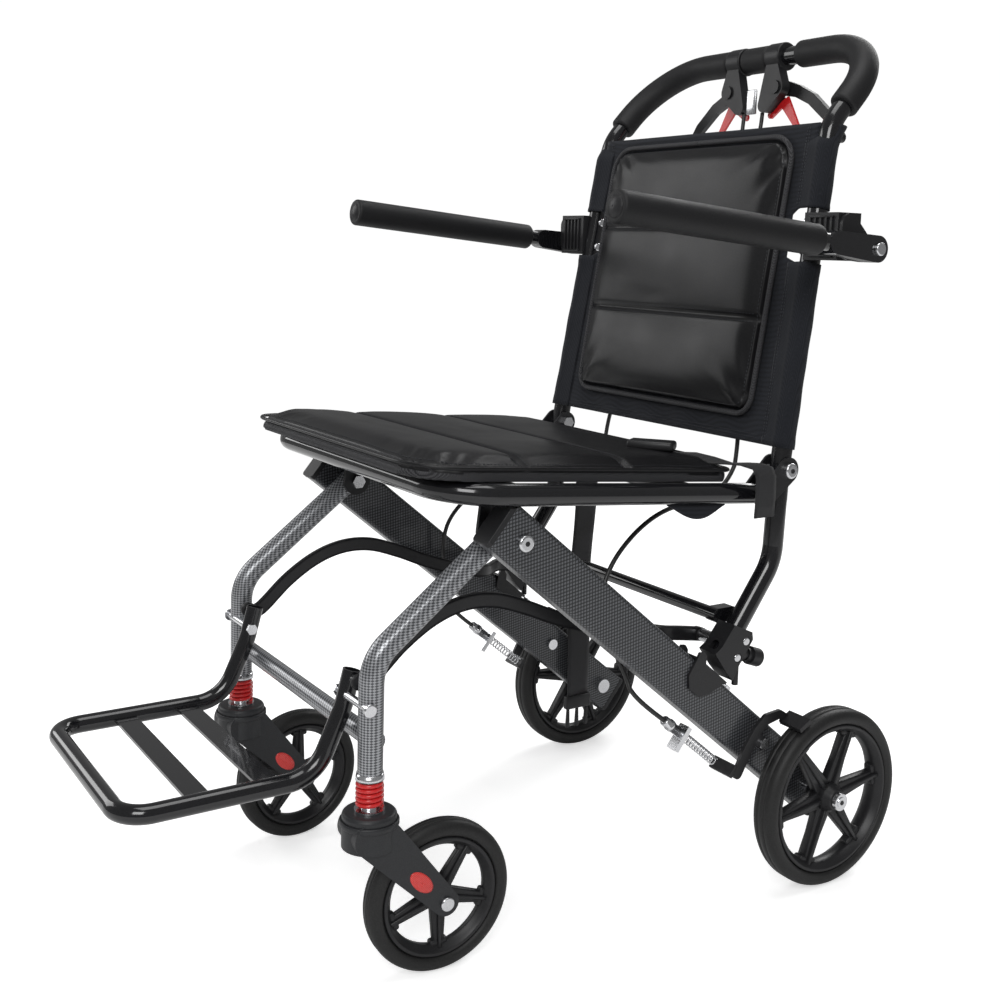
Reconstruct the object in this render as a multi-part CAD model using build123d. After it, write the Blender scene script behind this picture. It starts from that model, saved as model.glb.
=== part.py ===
"""Folding transit wheelchair, open and standing on its four wheels.

Frame: +X is the sitter's left, +Y points to the back, +Z is up. The floor is Z = 0.
Everything on the left is drawn once and mirrored to the right.
"""
from build123d import *
import math
import os

# ---------------------------------------------------------------- driving dimensions, mm
# frame
SIDE_X = 203.0          # centre of the seat tube, the upright and the rear leg
TUBE_R = 11.0           # seat tube, upright and handle bar
TUBE_WALL = 1.6
SEAT_FRONT_Y = -146.0
SEAT_FRONT_Z = 474.3
SEAT_REAR_Y = 248.0
SEAT_SLOPE = 0.0762     # the seat falls to the rear
SEAT_CORNER_R = 55.0
CROSS_BAR_R = 8.0
CROSS_BAR_YS = (-68.0, 150.0)
PLATE = 3.0             # hinge plate thickness
EAR_TOP_R = 10.8        # front pivot plate where it holds the cross bar
HINGE_SIDE_GAP = 0.9    # the upright leans in beside the inner hinge plate
FIT = 0.05              # radial clearance of a pin or stem in its hole
GAP = 0.3               # side clearance between parts that turn past each other
CLAMP_GAP = 0.1         # round a tube that a bracket is bolted on
PIVOT_R = 5.0           # bolts of the two main pivots
HEAD_R = 8.5
HEAD_H = 5.5

# the two main pivots, as (y, z)
FRONT_PIVOT = (-68.0, 423.0)
BACK_HINGE = (263.0, 470.0)

# back frame
REAR_LEG_END = (186.0, 268.0)
REAR_LEG_KNEE = (258.5, 369.0)
REAR_LEG_KNEE_R = 60.0
UPRIGHT_TOP = (323.0, 840.0)
UPRIGHT_RADII = [REAR_LEG_KNEE_R, 300.0, 60.0]
HANDLE_X = 192.0        # half width of the push handle
HANDLE_TILT = math.radians(42.4)
HANDLE_RISE = 132.0     # measured along the tilted handle
HANDLE_CORNER_R = 85.0
HANDLE_JOINT = 34.0     # where the handle bar meets the upright
FOAM_R = 16.0
FOAM_START = 26.0
GRIP_INNER_X = 58.0     # inner end of the left hand sleeve
COVER_TOP_Z = 842.0
COVER_BOTTOM_Z = 492.0
COVER_GAP_LOW_Z = 690.0
COVER_GAP_HIGH_Z = 748.0
COVER_T = 4.0
SLEEVE_T = 2.5          # fabric sleeve beyond the tube's surface
SLEEVE_GAP = 0.4
PAD_HALF_X = 158.0
PAD_LOW = 50.0          # distances up the back from its hinge
PAD_HIGH = 362.0
PAD_T = 13.0
PAD_CORNER_R = 28.0
REAR_BAR = (199.0, 312.0)
REAR_BAR_R = 7.0

# seat cushion
CUSHION_HALF_X = 203.0
CUSHION_FRONT_Y = -182.0
CUSHION_REAR_Y = 203.0
CUSHION_T = 18.0
CUSHION_CORNER_R = 45.0
CUSHION_EDGE_R = 7.0

# side beams, which run from the front pivot to the rear axle
REAR_AXLE = (330.0, 100.0)
BEAM_IN_X = 179.0
BEAM_T = 26.0
BEAM_H = 50.0
BEAM_WALL = 2.2
BEAM_FRONT = 28.0       # length of beam ahead of the pivot
BEAM_TAIL = 26.0        # length of beam behind the axle
BEAM_EDGE_R = 5.0
CAP_T = 6.0
BEAM_TRIM_Z = 456.6     # the beam's upper front corner is cut off below the seat tube

# rear wheels
REAR_R = 100.0
REAR_W = 30.0
REAR_X = 234.0
REAR_RIM_R = 84.0
AXLE_R = 6.0
HUB_R = 16.0
TYRE_SEAT = 0.15

# brakes, with (u, v) along and across the beam from the front pivot
BRAKE_PIVOT = (401.0, 1.0)
BRAKE_STOP_BOLT = (413.5, -1.0)
BRAKE_LINE_V = -43.5
BRAKE_ARM_T = 3.8
BRAKE_ARM_X = 215.5     # inner face of the brake arm, outboard of the rear leg's path
STOP_U = 313.0
STOP_T = 6.0
SPRING_END_U = 381.0
PAD_GAP = 4.0
PAD_RADIAL = 5.0
PAD_LENGTH = 18.0
CABLE_R = 2.5

# brake levers on the handle bar
LEVER_CENTRE_X = -11.0
CLAMP_OFFSET = 34.0
CLAMP_W = 24.0
CLAMP_R = 17.0
LEVER_Y = 398.0
LEVER_BODY_T = 13.0
LOCK_T = 3.5
BLADE_T = 7.0
LEVER_GAP = 0.5

# front legs and casters
LEG_X = 160.0
LEG_R = 12.0
LEG_WALL = 2.0
STEM_Y = -203.0
LEG_BOTTOM_Z = 211.0
LEG_BEND_R = 45.0
CROSS_TUBE = (-197.0, 238.5)
CROSS_TUBE_R = 9.5
STEM_R = 8.0
STEM_TOP_Z = 258.0
COLLAR_Z = 204.0
FLANGE_Z = 174.0
FLANGE_T = 2.0
COIL_R = 11.4
WIRE_R = 2.1
COIL_TURNS = 5.0
TRAIL = 72.0
TOE = 4.0               # degrees that a trailing caster wheel stands outwards
CASTER_R = 75.0
CASTER_W = 24.0
CASTER_RIM_R = 60.0
CASTER_AXLE_R = 4.0
FORK_IN = 14.0
FORK_OUT = 22.0
FORK_HEAD_R = 26.0
FORK_LOW_Z = 140.0

# footrest and its links
FOOT_X = 120.0
FOOT_R = 9.0
FOOT_PIVOT = (-211.0, 275.0)
FOOT_PIVOT_R = 4.0
FOOT_BAR = (-421.0, 198.0)
SLAT_YS = (-283.0, -349.0)
SLAT_W = 22.0
SLAT_T = 3.0
LINK_FRONT = (-205.0, 290.0)
LINK_REAR = (193.0, 287.0)
LINK_X = 134.5
LINK_REAR_X = 166.0
LINK_T = 5.0
LINK_HALF = 7.5
LINK_JOG_Y = (100.0, 150.0)

# armrests
ARM_X = 260.0
ARM_HINGE = (322.0, 707.0)
ARM_SLOPE = math.radians(5.0)
ARM_LENGTH = 342.0
ARM_FOAM_LENGTH = 260.0
ARM_TUBE_R = 9.5
ARM_FOAM_R = 16.0
ARM_PIN_R = 4.0
ARM_BOSS_R = 14.0
BRACKET_LOW_Z = 694.0
BRACKET_HIGH_Z = 744.0

# lap belt
BELT_W = 30.0
BELT_T = 2.0
BELT_HANG_X = -168.0
BELT_HANG_Y = 282.0
BELT_LOW_Z = 98.0


# ---------------------------------------------------------------- helpers
def write(name, *solids):
    """Write one sub-part, a single solid or a group of separate ones, as parts/NAME.step."""
    shape = solids[0] if len(solids) == 1 else Compound(children=list(solids))
    export_step(shape, f"parts/{name}.step")


def mirrored(shape):
    """The right-hand copy of a left-hand piece."""
    return shape.mirror(Plane.YZ)


def both(shape):
    """A left-hand piece and its right-hand copy."""
    return [shape, mirrored(shape)]


def one(shape):
    """The single solid inside a boolean result."""
    return shape.solids()[0]


def rod(x0, x1, centre, radius):
    """A round bar along X, from x0 to x1, about the point (y, z)."""
    y, z = centre
    return Pos((x0 + x1) / 2, y, z) * Rot(0, 90, 0) * Cylinder(radius, abs(x1 - x0))


def rod_y(y0, y1, centre, radius):
    """A round bar along Y, from y0 to y1, about the point (x, z)."""
    x, z = centre
    return Pos(x, (y0 + y1) / 2, z) * Rot(90, 0, 0) * Cylinder(radius, abs(y1 - y0))


def rod_z(z0, z1, centre, radius):
    """A round bar along Z, from z0 to z1, about the point (x, y)."""
    x, y = centre
    return Pos(x, y, (z0 + z1) / 2) * Cylinder(radius, abs(z1 - z0))


def box(x0, x1, y0, y1, z0, z1):
    """A box between two corners."""
    return Pos((x0 + x1) / 2, (y0 + y1) / 2, (z0 + z1) / 2) * Box(x1 - x0, y1 - y0, z1 - z0)


def swept(points, radii, outer, inner=0.0):
    """A round bar or tube along straight runs joined by tangent arcs."""
    path = FilletPolyline(*points, radius=radii)
    start = Plane(origin=path @ 0, z_dir=path % 0)
    body = sweep(start * Circle(outer), path=path)
    if inner:
        body -= sweep(start * Circle(inner), path=path)
    return one(body)


def outline(circles):
    """The convex outline round a few circles, each (x, y, radius)."""
    edges = []
    for cx, cy, radius in circles:
        edges += (Pos(cx, cy) * Circle(radius)).edges()
    return make_hull(edges)


def side_plane(x0):
    """The plane X = x0, with its own x along Y and its own y along Z."""
    return Plane(origin=(x0, 0, 0), x_dir=(0, 1, 0), z_dir=(1, 0, 0))


def side_plate(circles, x0, x1):
    """A plate facing X, from x0 to x1, round circles given as (y, z, radius)."""
    return one(extrude(side_plane(x0) * outline(circles), x1 - x0))


def side_polygon(points, x0, x1):
    """A plate facing X, from x0 to x1, with corners at (y, z)."""
    face = make_face(Polyline(*points, close=True))
    return one(extrude(side_plane(x0) * face, x1 - x0))


def front_plate(circles, y0, y1):
    """A plate facing Y, from y0 to y1, round circles given as (x, z, radius)."""
    plane = Plane(origin=(0, y1, 0), x_dir=(1, 0, 0), z_dir=(0, -1, 0))
    return one(extrude(plane * outline(circles), y1 - y0))


def chain(circles, make, low, high):
    """A bent bar: plates round each pair of neighbouring circles, joined."""
    bar = make(circles[0:2], low, high)
    for k in range(1, len(circles) - 1):
        bar += make(circles[k:k + 2], low, high)
    return one(bar)


def bolt(x0, x1, centre, radius, head_r=HEAD_R, head_h=HEAD_H):
    """A bolt along X with a domed head beyond x1 and a nut before x0."""
    head = rod(x1, x1 + head_h, centre, head_r)
    head = fillet(head.edges().group_by(Axis.X)[-1], head_h * 0.45)
    y, z = centre
    nut_face = Plane(origin=(x0 - head_h, 0, 0), x_dir=(0, 1, 0), z_dir=(1, 0, 0))
    nut = extrude(nut_face * Pos(y, z) * RegularPolygon(head_r * 0.95, 6), head_h)
    return one(rod(x0, x1, centre, radius) + head + nut)


def seat_z(y):
    """Height of the seat tube's centre line."""
    return SEAT_FRONT_Z - SEAT_SLOPE * (y - SEAT_FRONT_Y)


BEAM_ANGLE = math.atan2(FRONT_PIVOT[1] - REAR_AXLE[1], REAR_AXLE[0] - FRONT_PIVOT[0])
BEAM_LENGTH = math.hypot(FRONT_PIVOT[1] - REAR_AXLE[1], REAR_AXLE[0] - FRONT_PIVOT[0])
BEAM_OUT_X = BEAM_IN_X + BEAM_T


def on_beam(u, v):
    """The point (y, z) at a distance u along the beam and v above its centre line."""
    y = FRONT_PIVOT[0] + u * math.cos(BEAM_ANGLE) + v * math.sin(BEAM_ANGLE)
    z = FRONT_PIVOT[1] - u * math.sin(BEAM_ANGLE) + v * math.cos(BEAM_ANGLE)
    return (y, z)


def beam_circle(u, v, radius):
    """A circle (y, z, radius) placed along the beam."""
    return (*on_beam(u, v), radius)


def handle_point(s, x=HANDLE_X):
    """A point on the tilted handle, s above the upright's end."""
    y = UPRIGHT_TOP[0] + s * math.sin(HANDLE_TILT)
    z = UPRIGHT_TOP[1] + s * math.cos(HANDLE_TILT)
    return (x, y, z)


BACK_ANGLE = math.atan2(UPRIGHT_TOP[0] - BACK_HINGE[0], UPRIGHT_TOP[1] - BACK_HINGE[1])
BACK_RUN = math.hypot(UPRIGHT_TOP[0] - BACK_HINGE[0], UPRIGHT_TOP[1] - BACK_HINGE[1])


def on_back(x, t, n):
    """A point t up the back from its hinge and n behind the uprights' plane."""
    y = BACK_HINGE[0] + t * math.sin(BACK_ANGLE) + n * math.cos(BACK_ANGLE)
    z = BACK_HINGE[1] + t * math.cos(BACK_ANGLE) - n * math.sin(BACK_ANGLE)
    return (x, y, z)


def back_plane(n):
    """The plane n behind the uprights, with its own y up the back and z to the rear."""
    return Plane(origin=on_back(0, 0, n), x_dir=(-1, 0, 0),
                 z_dir=(0, math.cos(BACK_ANGLE), -math.sin(BACK_ANGLE)))


def upright_x(t):
    """X of the left upright's centre, which leans inwards."""
    return SIDE_X + (HANDLE_X - SIDE_X) * t / BACK_RUN


def up_back(z):
    """Distance up the back at which the uprights reach the height z."""
    return (z - BACK_HINGE[1]) / math.cos(BACK_ANGLE)


# ---------------------------------------------------------------- seat frame
def seat_path():
    """The seat tube's corners, from the left rear end round to the right."""
    left = [(SIDE_X, y, seat_z(y)) for y in (SEAT_REAR_Y, SEAT_FRONT_Y)]
    return left + [(-x, y, z) for x, y, z in reversed(left)]


def make_seat_frame():
    """Seat tube, cross bars, pivot plates and the bolts of the main pivots."""
    corners = [SEAT_CORNER_R, SEAT_CORNER_R]
    write("seat_tube", swept(seat_path(), corners, TUBE_R, TUBE_R - TUBE_WALL))
    reach = SIDE_X - TUBE_R - 0.2
    bars = [rod(-reach, reach, (y, seat_z(y)), CROSS_BAR_R) for y in CROSS_BAR_YS]
    write("seat_cross_bars", *[one(bar) for bar in bars])

    bar_y = CROSS_BAR_YS[0]
    leg_in = LEG_X - LEG_R - GAP
    ear = side_plate([(*FRONT_PIVOT, 16), (bar_y, seat_z(bar_y), EAR_TOP_R)], leg_in - 4, leg_in)
    ear -= rod(leg_in - 9, leg_in + 9, FRONT_PIVOT, PIVOT_R + FIT)
    ear -= rod(leg_in - 9, leg_in + 9, (bar_y, seat_z(bar_y)), CROSS_BAR_R)
    root_y = SEAT_REAR_Y - 18
    tail_y = SEAT_REAR_Y - 8
    shape = [(root_y, seat_z(root_y), 7), (tail_y, seat_z(tail_y), 8), (*BACK_HINGE, 14)]
    inner_face = SIDE_X - TUBE_R - HINGE_SIDE_GAP
    outer_face = SIDE_X + TUBE_R + GAP
    cheeks = []
    for x0 in (inner_face - PLATE, outer_face):
        cheek = side_plate(shape, x0, x0 + PLATE)
        cheek -= rod(x0 - 5, x0 + PLATE + 5, BACK_HINGE, PIVOT_R + FIT)
        cheeks.append(one(cheek))
    write("seat_brackets", *both(one(ear)), *both(cheeks[0]), *both(cheeks[1]))

    front = bolt(leg_in - 4.2, BEAM_OUT_X + GAP, FRONT_PIVOT, PIVOT_R)
    spacer = rod(LEG_X + LEG_R + GAP, BEAM_IN_X - GAP, FRONT_PIVOT, 9.0)
    spacer -= rod(LEG_X, BEAM_OUT_X, FRONT_PIVOT, PIVOT_R + FIT)
    rear = bolt(inner_face - PLATE - 0.2, outer_face + PLATE + 0.2, BACK_HINGE, PIVOT_R)
    write("seat_bolts", *both(front), *both(one(spacer)), *both(rear))


def make_cushion():
    """The seat cushion, a plain rounded slab that lies on the seat tube."""
    length = (CUSHION_REAR_Y - CUSHION_FRONT_Y) * math.hypot(1, SEAT_SLOPE)
    middle = (CUSHION_REAR_Y + CUSHION_FRONT_Y) / 2
    lift = TUBE_R + 0.5
    plane = Plane(origin=(0, middle, seat_z(middle) + lift), x_dir=(1, 0, 0),
                  z_dir=(0, SEAT_SLOPE, 1))
    slab = extrude(plane * RectangleRounded(2 * CUSHION_HALF_X, length, CUSHION_CORNER_R), CUSHION_T)
    slab = fillet(slab.edges().group_by(Axis.Z)[-1], CUSHION_EDGE_R)
    write("seat_cushion", one(slab))


def cushion_top_z(y):
    """Height just above the cushion's top face."""
    return seat_z(y) + (TUBE_R + 0.5 + CUSHION_T) * math.hypot(1, SEAT_SLOPE) + 1.0


def over_cushion(corners, thickness, lift=0.0):
    """A flat piece lying along the cushion's top, with corners given as (x, y)."""
    first_y = corners[0][1]
    plane = Plane(origin=(0, first_y, cushion_top_z(first_y) + lift), x_dir=(1, 0, 0),
                  z_dir=(0, SEAT_SLOPE, 1))
    stretch = math.hypot(1, SEAT_SLOPE)
    flat = [(x, (y - first_y) * stretch) for x, y in corners]
    return extrude(plane * make_face(Polyline(*flat, close=True)), thickness)


def make_belt():
    """The lap belt: one half looped over the left side onto the seat, one hanging on the right."""
    y0 = 206.0
    y1 = y0 + BELT_W
    out_x = SIDE_X + TUBE_R + GAP + PLATE + HEAD_H + 2.0
    buckle_x = 166.0
    drop = side_polygon([(y0, 424), (y1, 424), (y1, cushion_top_z(y1) + 1), (y0, cushion_top_z(y0) + 1)],
                        out_x, out_x + BELT_T)
    over = over_cushion([(out_x + BELT_T, y1), (out_x + BELT_T, y0), (buckle_x, y0 - 50),
                         (buckle_x, y1 - 54)], BELT_T)
    write("belt_strap_left", one(drop + over))
    half = 18.0
    hang = box(BELT_HANG_X - BELT_T / 2, BELT_HANG_X + BELT_T / 2,
               BELT_HANG_Y - half, BELT_HANG_Y + half, BELT_LOW_Z, 452)
    tab = box(-(SIDE_X - TUBE_R - GAP - PLATE - HEAD_H - 1.0), BELT_HANG_X,
              BELT_HANG_Y - half, BELT_HANG_Y + half, 452 - BELT_T, 452)
    write("belt_strap_right", one(hang + tab))
    tongue = box(BELT_HANG_X - 5, BELT_HANG_X + 5, BELT_HANG_Y - 20, BELT_HANG_Y + 20,
                 BELT_LOW_Z - 18.2, BELT_LOW_Z - 0.2)
    for d in (-15, 0, 15):
        tongue += box(BELT_HANG_X - 2, BELT_HANG_X + 2, BELT_HANG_Y + d - 3, BELT_HANG_Y + d + 3,
                      BELT_LOW_Z - 44, BELT_LOW_Z - 18.2)
    clip = over_cushion([(buckle_x - 0.3, y0 - 56), (buckle_x - 0.3, y1 - 48), (buckle_x - 54, y1 - 48),
                         (buckle_x - 54, y0 - 56)], 11, -0.6)
    write("belt_buckles", one(tongue), one(clip))


# ---------------------------------------------------------------- back frame
def upright_points():
    """The left rear leg and upright as one bent tube."""
    leg = [(SIDE_X, *REAR_LEG_END), (SIDE_X, *REAR_LEG_KNEE), (SIDE_X, *BACK_HINGE)]
    return leg + [(HANDLE_X, *UPRIGHT_TOP), handle_point(HANDLE_JOINT)]


def make_back_tubes():
    """Two bent side tubes, the push handle bar and its foam sleeves."""
    tube = swept(upright_points(), UPRIGHT_RADII, TUBE_R, TUBE_R - TUBE_WALL)
    tube -= rod(SIDE_X - 20, SIDE_X + 20, BACK_HINGE, PIVOT_R + FIT)
    write("back_tubes", *both(one(tube)))

    low = HANDLE_JOINT + 0.2
    bend = [HANDLE_CORNER_R, HANDLE_CORNER_R]
    arch = [handle_point(low), handle_point(HANDLE_RISE)]
    arch += [(-x, y, z) for x, y, z in reversed(arch)]
    write("handle_bar", swept(arch, bend, TUBE_R, TUBE_R - TUBE_WALL))

    bore = TUBE_R + 0.1
    sleeves = []
    ends = (GRIP_INNER_X, -(LEVER_CENTRE_X - CLAMP_OFFSET - CLAMP_W / 2 - 0.5))
    for side, inner_x in zip((1, -1), ends):
        route = [handle_point(FOAM_START), handle_point(HANDLE_RISE), handle_point(HANDLE_RISE, inner_x)]
        sleeve = swept(route, [HANDLE_CORNER_R], FOAM_R, bore)
        sleeves.append(sleeve if side > 0 else mirrored(sleeve))
    _, y, z = handle_point(HANDLE_RISE)
    x0 = LEVER_CENTRE_X - CLAMP_OFFSET + CLAMP_W / 2 + 0.5
    x1 = LEVER_CENTRE_X + CLAMP_OFFSET - CLAMP_W / 2 - 0.5
    middle = rod(x0, x1, (y, z), FOAM_R) - rod(x0 - 1, x1 + 1, (y, z), bore)
    write("handle_foam", *sleeves, one(middle))


def sleeve_round_upright(z0, z1):
    """A fabric sleeve round the left upright between two heights, its bore not yet cut."""
    run = swept(upright_points(), UPRIGHT_RADII, TUBE_R + SLEEVE_T)
    return one(run & box(100, 300, 200, 420, z0, z1))


def make_back_soft():
    """The fabric cover with a sleeve on each upright, and the padded panel before it."""
    top = up_back(COVER_TOP_Z)
    low = up_back(COVER_BOTTOM_Z)
    gap_low = up_back(COVER_GAP_LOW_Z)
    gap_high = up_back(COVER_GAP_HIGH_Z)
    near = -(COVER_T / 2 + 7.0)
    inset = 26.0
    right = [(upright_x(low), low), (upright_x(gap_low), gap_low), (upright_x(gap_low) - inset, gap_low),
             (upright_x(gap_high) - inset, gap_high), (upright_x(gap_high), gap_high),
             (upright_x(top), top)]
    corners = right + [(-x, t) for x, t in reversed(right)]
    panel = extrude(back_plane(near) * make_face(Polyline(*corners, close=True)), COVER_T)
    for z0, z1 in ((COVER_BOTTOM_Z, COVER_GAP_LOW_Z), (COVER_GAP_HIGH_Z, COVER_TOP_Z)):
        for piece in both(sleeve_round_upright(z0, z1)):
            panel += piece
    for bore in both(swept(upright_points(), UPRIGHT_RADII, TUBE_R + SLEEVE_GAP)):
        panel -= bore
    write("back_cover", one(panel))

    middle = (PAD_LOW + PAD_HIGH) / 2
    face = Pos(0, middle) * RectangleRounded(2 * PAD_HALF_X, PAD_HIGH - PAD_LOW, PAD_CORNER_R)
    pad = extrude(back_plane(near - 0.3 - PAD_T) * face, PAD_T)
    pad = fillet(pad.edges().group_by(Axis.Y)[0], 5.0)
    write("back_pad", one(pad))


def make_armrest_brackets():
    """A moulded bracket on each upright that carries the armrest's hinge and its stop."""
    arm_in = ARM_X - ARM_TUBE_R - 0.5
    mid_z = (BRACKET_LOW_Z + BRACKET_HIGH_Z) / 2
    t = up_back(mid_z)
    _, tube_y, _ = on_back(0, t, 0)
    tube_x = upright_x(t)
    block = box(tube_x + 2, arm_in - GAP - 5, tube_y - 17, tube_y + 17, BRACKET_LOW_Z, BRACKET_HIGH_Z)
    ear_shape = [(*ARM_HINGE, ARM_BOSS_R), (tube_y - 4, BRACKET_LOW_Z + 13, 12),
                 (tube_y - 4, BRACKET_HIGH_Z - 13, 12)]
    ear = side_plate(ear_shape, arm_in - GAP - 6, arm_in - GAP)
    ledge_top = ARM_HINGE[1] - ARM_BOSS_R - 0.8
    ledge_points = [(tube_y - 42, ledge_top + 4), (tube_y + 2, ledge_top),
                    (tube_y + 2, ledge_top - 20), (tube_y - 38, ledge_top - 4)]
    ledge = side_polygon(ledge_points, tube_x + 14, ARM_X + 9)
    bracket = block + ear + ledge
    tube_cut = swept(upright_points(), UPRIGHT_RADII, TUBE_R + CLAMP_GAP)
    bracket -= tube_cut
    bracket -= rod(arm_in - 20, arm_in + 5, ARM_HINGE, ARM_PIN_R + FIT)
    bracket -= rod(arm_in - 20, arm_in - GAP - 6, ARM_HINGE, 8.0)
    write("armrest_brackets", *both(one(bracket)))


def make_armrests():
    """Each armrest: a tube with a flat hinge end and a foam sleeve, hinged on one bolt."""
    y0, z0 = ARM_HINGE
    forward = Vector(0, -math.cos(ARM_SLOPE), math.sin(ARM_SLOPE))
    plane = Plane(origin=(ARM_X, y0, z0), z_dir=forward)
    start = 16.0
    tube = extrude(plane.offset(start) * Circle(ARM_TUBE_R), ARM_LENGTH - start - 4)
    end_y = y0 - 60 * math.cos(ARM_SLOPE)
    end_z = z0 + 60 * math.sin(ARM_SLOPE)
    fitting = side_plate([(y0, z0, ARM_BOSS_R), (end_y, end_z, 12.0)],
                         ARM_X - ARM_TUBE_R, ARM_X + ARM_TUBE_R)
    fitting -= rod(ARM_X - 20, ARM_X + 20, ARM_HINGE, ARM_PIN_R + FIT)
    tube = one(tube + fitting)
    foam_start = ARM_LENGTH - ARM_FOAM_LENGTH
    foam = extrude(plane.offset(foam_start) * Circle(ARM_FOAM_R), ARM_FOAM_LENGTH)
    foam -= extrude(plane.offset(foam_start - 1) * Circle(ARM_TUBE_R + 0.1), ARM_FOAM_LENGTH - 2.5)
    for side, name in ((1, "left"), (-1, "right")):
        pieces = (tube, one(foam)) if side > 0 else (mirrored(tube), mirrored(one(foam)))
        write(f"armrest_tube_{name}", pieces[0])
        write(f"armrest_foam_{name}", pieces[1])


def leg_point(s, n=0.0):
    """A point (y, z) s up the rear leg from its end and n behind its axis."""
    dy = REAR_LEG_KNEE[0] - REAR_LEG_END[0]
    dz = REAR_LEG_KNEE[1] - REAR_LEG_END[1]
    run = math.hypot(dy, dz)
    return (REAR_LEG_END[0] + s * dy / run + n * dz / run, REAR_LEG_END[1] + s * dz / run - n * dy / run)


PLUNGER_TILT = math.radians(20.0)
PLUNGER_ROOT = (206.0, 277.0)


def plunger_plane(distance):
    """The plane across the latch plunger, a distance out from its root."""
    y = PLUNGER_ROOT[0] + distance * math.cos(PLUNGER_TILT)
    z = PLUNGER_ROOT[1] - distance * math.sin(PLUNGER_TILT)
    return Plane(origin=(SIDE_X, y, z), z_dir=(0, math.cos(PLUNGER_TILT), -math.sin(PLUNGER_TILT)))


LATCH_BOLTS = [leg_point(14, 13.2), leg_point(34, 13.2)]
LATCH_BOLT_R = 4.8
LATCH_BOLT_X = 211.0


def make_latches():
    """The bracket boxed round each rear leg's foot, with its pin and spring plunger."""
    block_in = SIDE_X - TUBE_R - 3
    block_out = SIDE_X + TUBE_R + 0.6
    side = [on_beam(276, 41), leg_point(12, -15), leg_point(40, -13.5), leg_point(46, 14),
            leg_point(40, 20), leg_point(6, 20), on_beam(318, 32), on_beam(300, 35)]
    bracket = side_polygon(side, block_in, block_out)
    bracket += extrude(plunger_plane(-10) * Circle(10.0), 24)
    bracket += rod_z(238, 266, (SIDE_X, 213), 3.5)
    bracket -= swept(upright_points(), UPRIGHT_RADII, TUBE_R + CLAMP_GAP)
    bracket -= extrude(plunger_plane(-30) * Circle(6.0 + FIT), 70)
    for centre in LATCH_BOLTS:
        bracket -= rod(LATCH_BOLT_X - 0.2, block_out + 5, centre, LATCH_BOLT_R + 0.2)
    write("latch_brackets", *both(one(bracket)))

    plunger = extrude(plunger_plane(5) * Circle(6.0), 26) + extrude(plunger_plane(21) * Circle(7.5), 6)
    plunger += extrude(plunger_plane(27) * Circle(10.0), 14)
    plunger = one(plunger)
    write("latch_plunger_left", plunger)
    write("latch_plunger_right", mirrored(plunger))

    reach = SIDE_X - TUBE_R - 3.2
    bar = rod(-reach, reach, REAR_BAR, REAR_BAR_R)
    axis_y = leg_point(54)[0]
    for x0 in (reach - 14, -reach + 10):
        bar += side_plate([(*REAR_BAR, 8), (axis_y, REAR_BAR[1], 8)], x0, x0 + 4 if x0 < 0 else x0 + 14)
    write("rear_crossbar", one(bar))


def make_back_bolts():
    """Screws of the armrest brackets, bolts of the latch brackets and the links' rear pins."""
    pieces = []
    for z in (BRACKET_LOW_Z + 9, BRACKET_HIGH_Z - 9):
        t = up_back(z)
        _, y, _ = on_back(0, t, 0)
        x = upright_x(t)
        screw = rod(x - TUBE_R - 3.2, x - TUBE_R - 0.2, (y, z), 5.0)
        pieces += both(one(fillet(screw.edges().group_by(Axis.X)[0], 1.5)))
    for centre in LATCH_BOLTS:
        head = rod(LATCH_BOLT_X, LATCH_BOLT_X + 3.9, centre, LATCH_BOLT_R)
        pieces += both(one(fillet(head.edges().group_by(Axis.X)[-1], 1.8)))
    pin = rod(LINK_REAR_X - 4, SIDE_X - TUBE_R - 3.2, LINK_REAR, 4.0)
    pin += rod(LINK_REAR_X - 7, LINK_REAR_X - GAP, LINK_REAR, 7.0)
    pin += rod(LINK_REAR_X + LINK_T + GAP, SIDE_X - TUBE_R - 3.2, LINK_REAR, 7.0)
    pieces += both(one(pin))
    arm_in = ARM_X - ARM_TUBE_R - 0.5
    hinge = bolt(arm_in - GAP - 6.2, ARM_X + ARM_TUBE_R + GAP, ARM_HINGE, ARM_PIN_R, 7.0, 4.0)
    pieces += both(hinge)
    write("back_bolts", *pieces)


# ---------------------------------------------------------------- brake levers
def lever_x(offset, side):
    """X at an offset outwards from the middle of the lever pair."""
    return LEVER_CENTRE_X + side * offset


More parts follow.
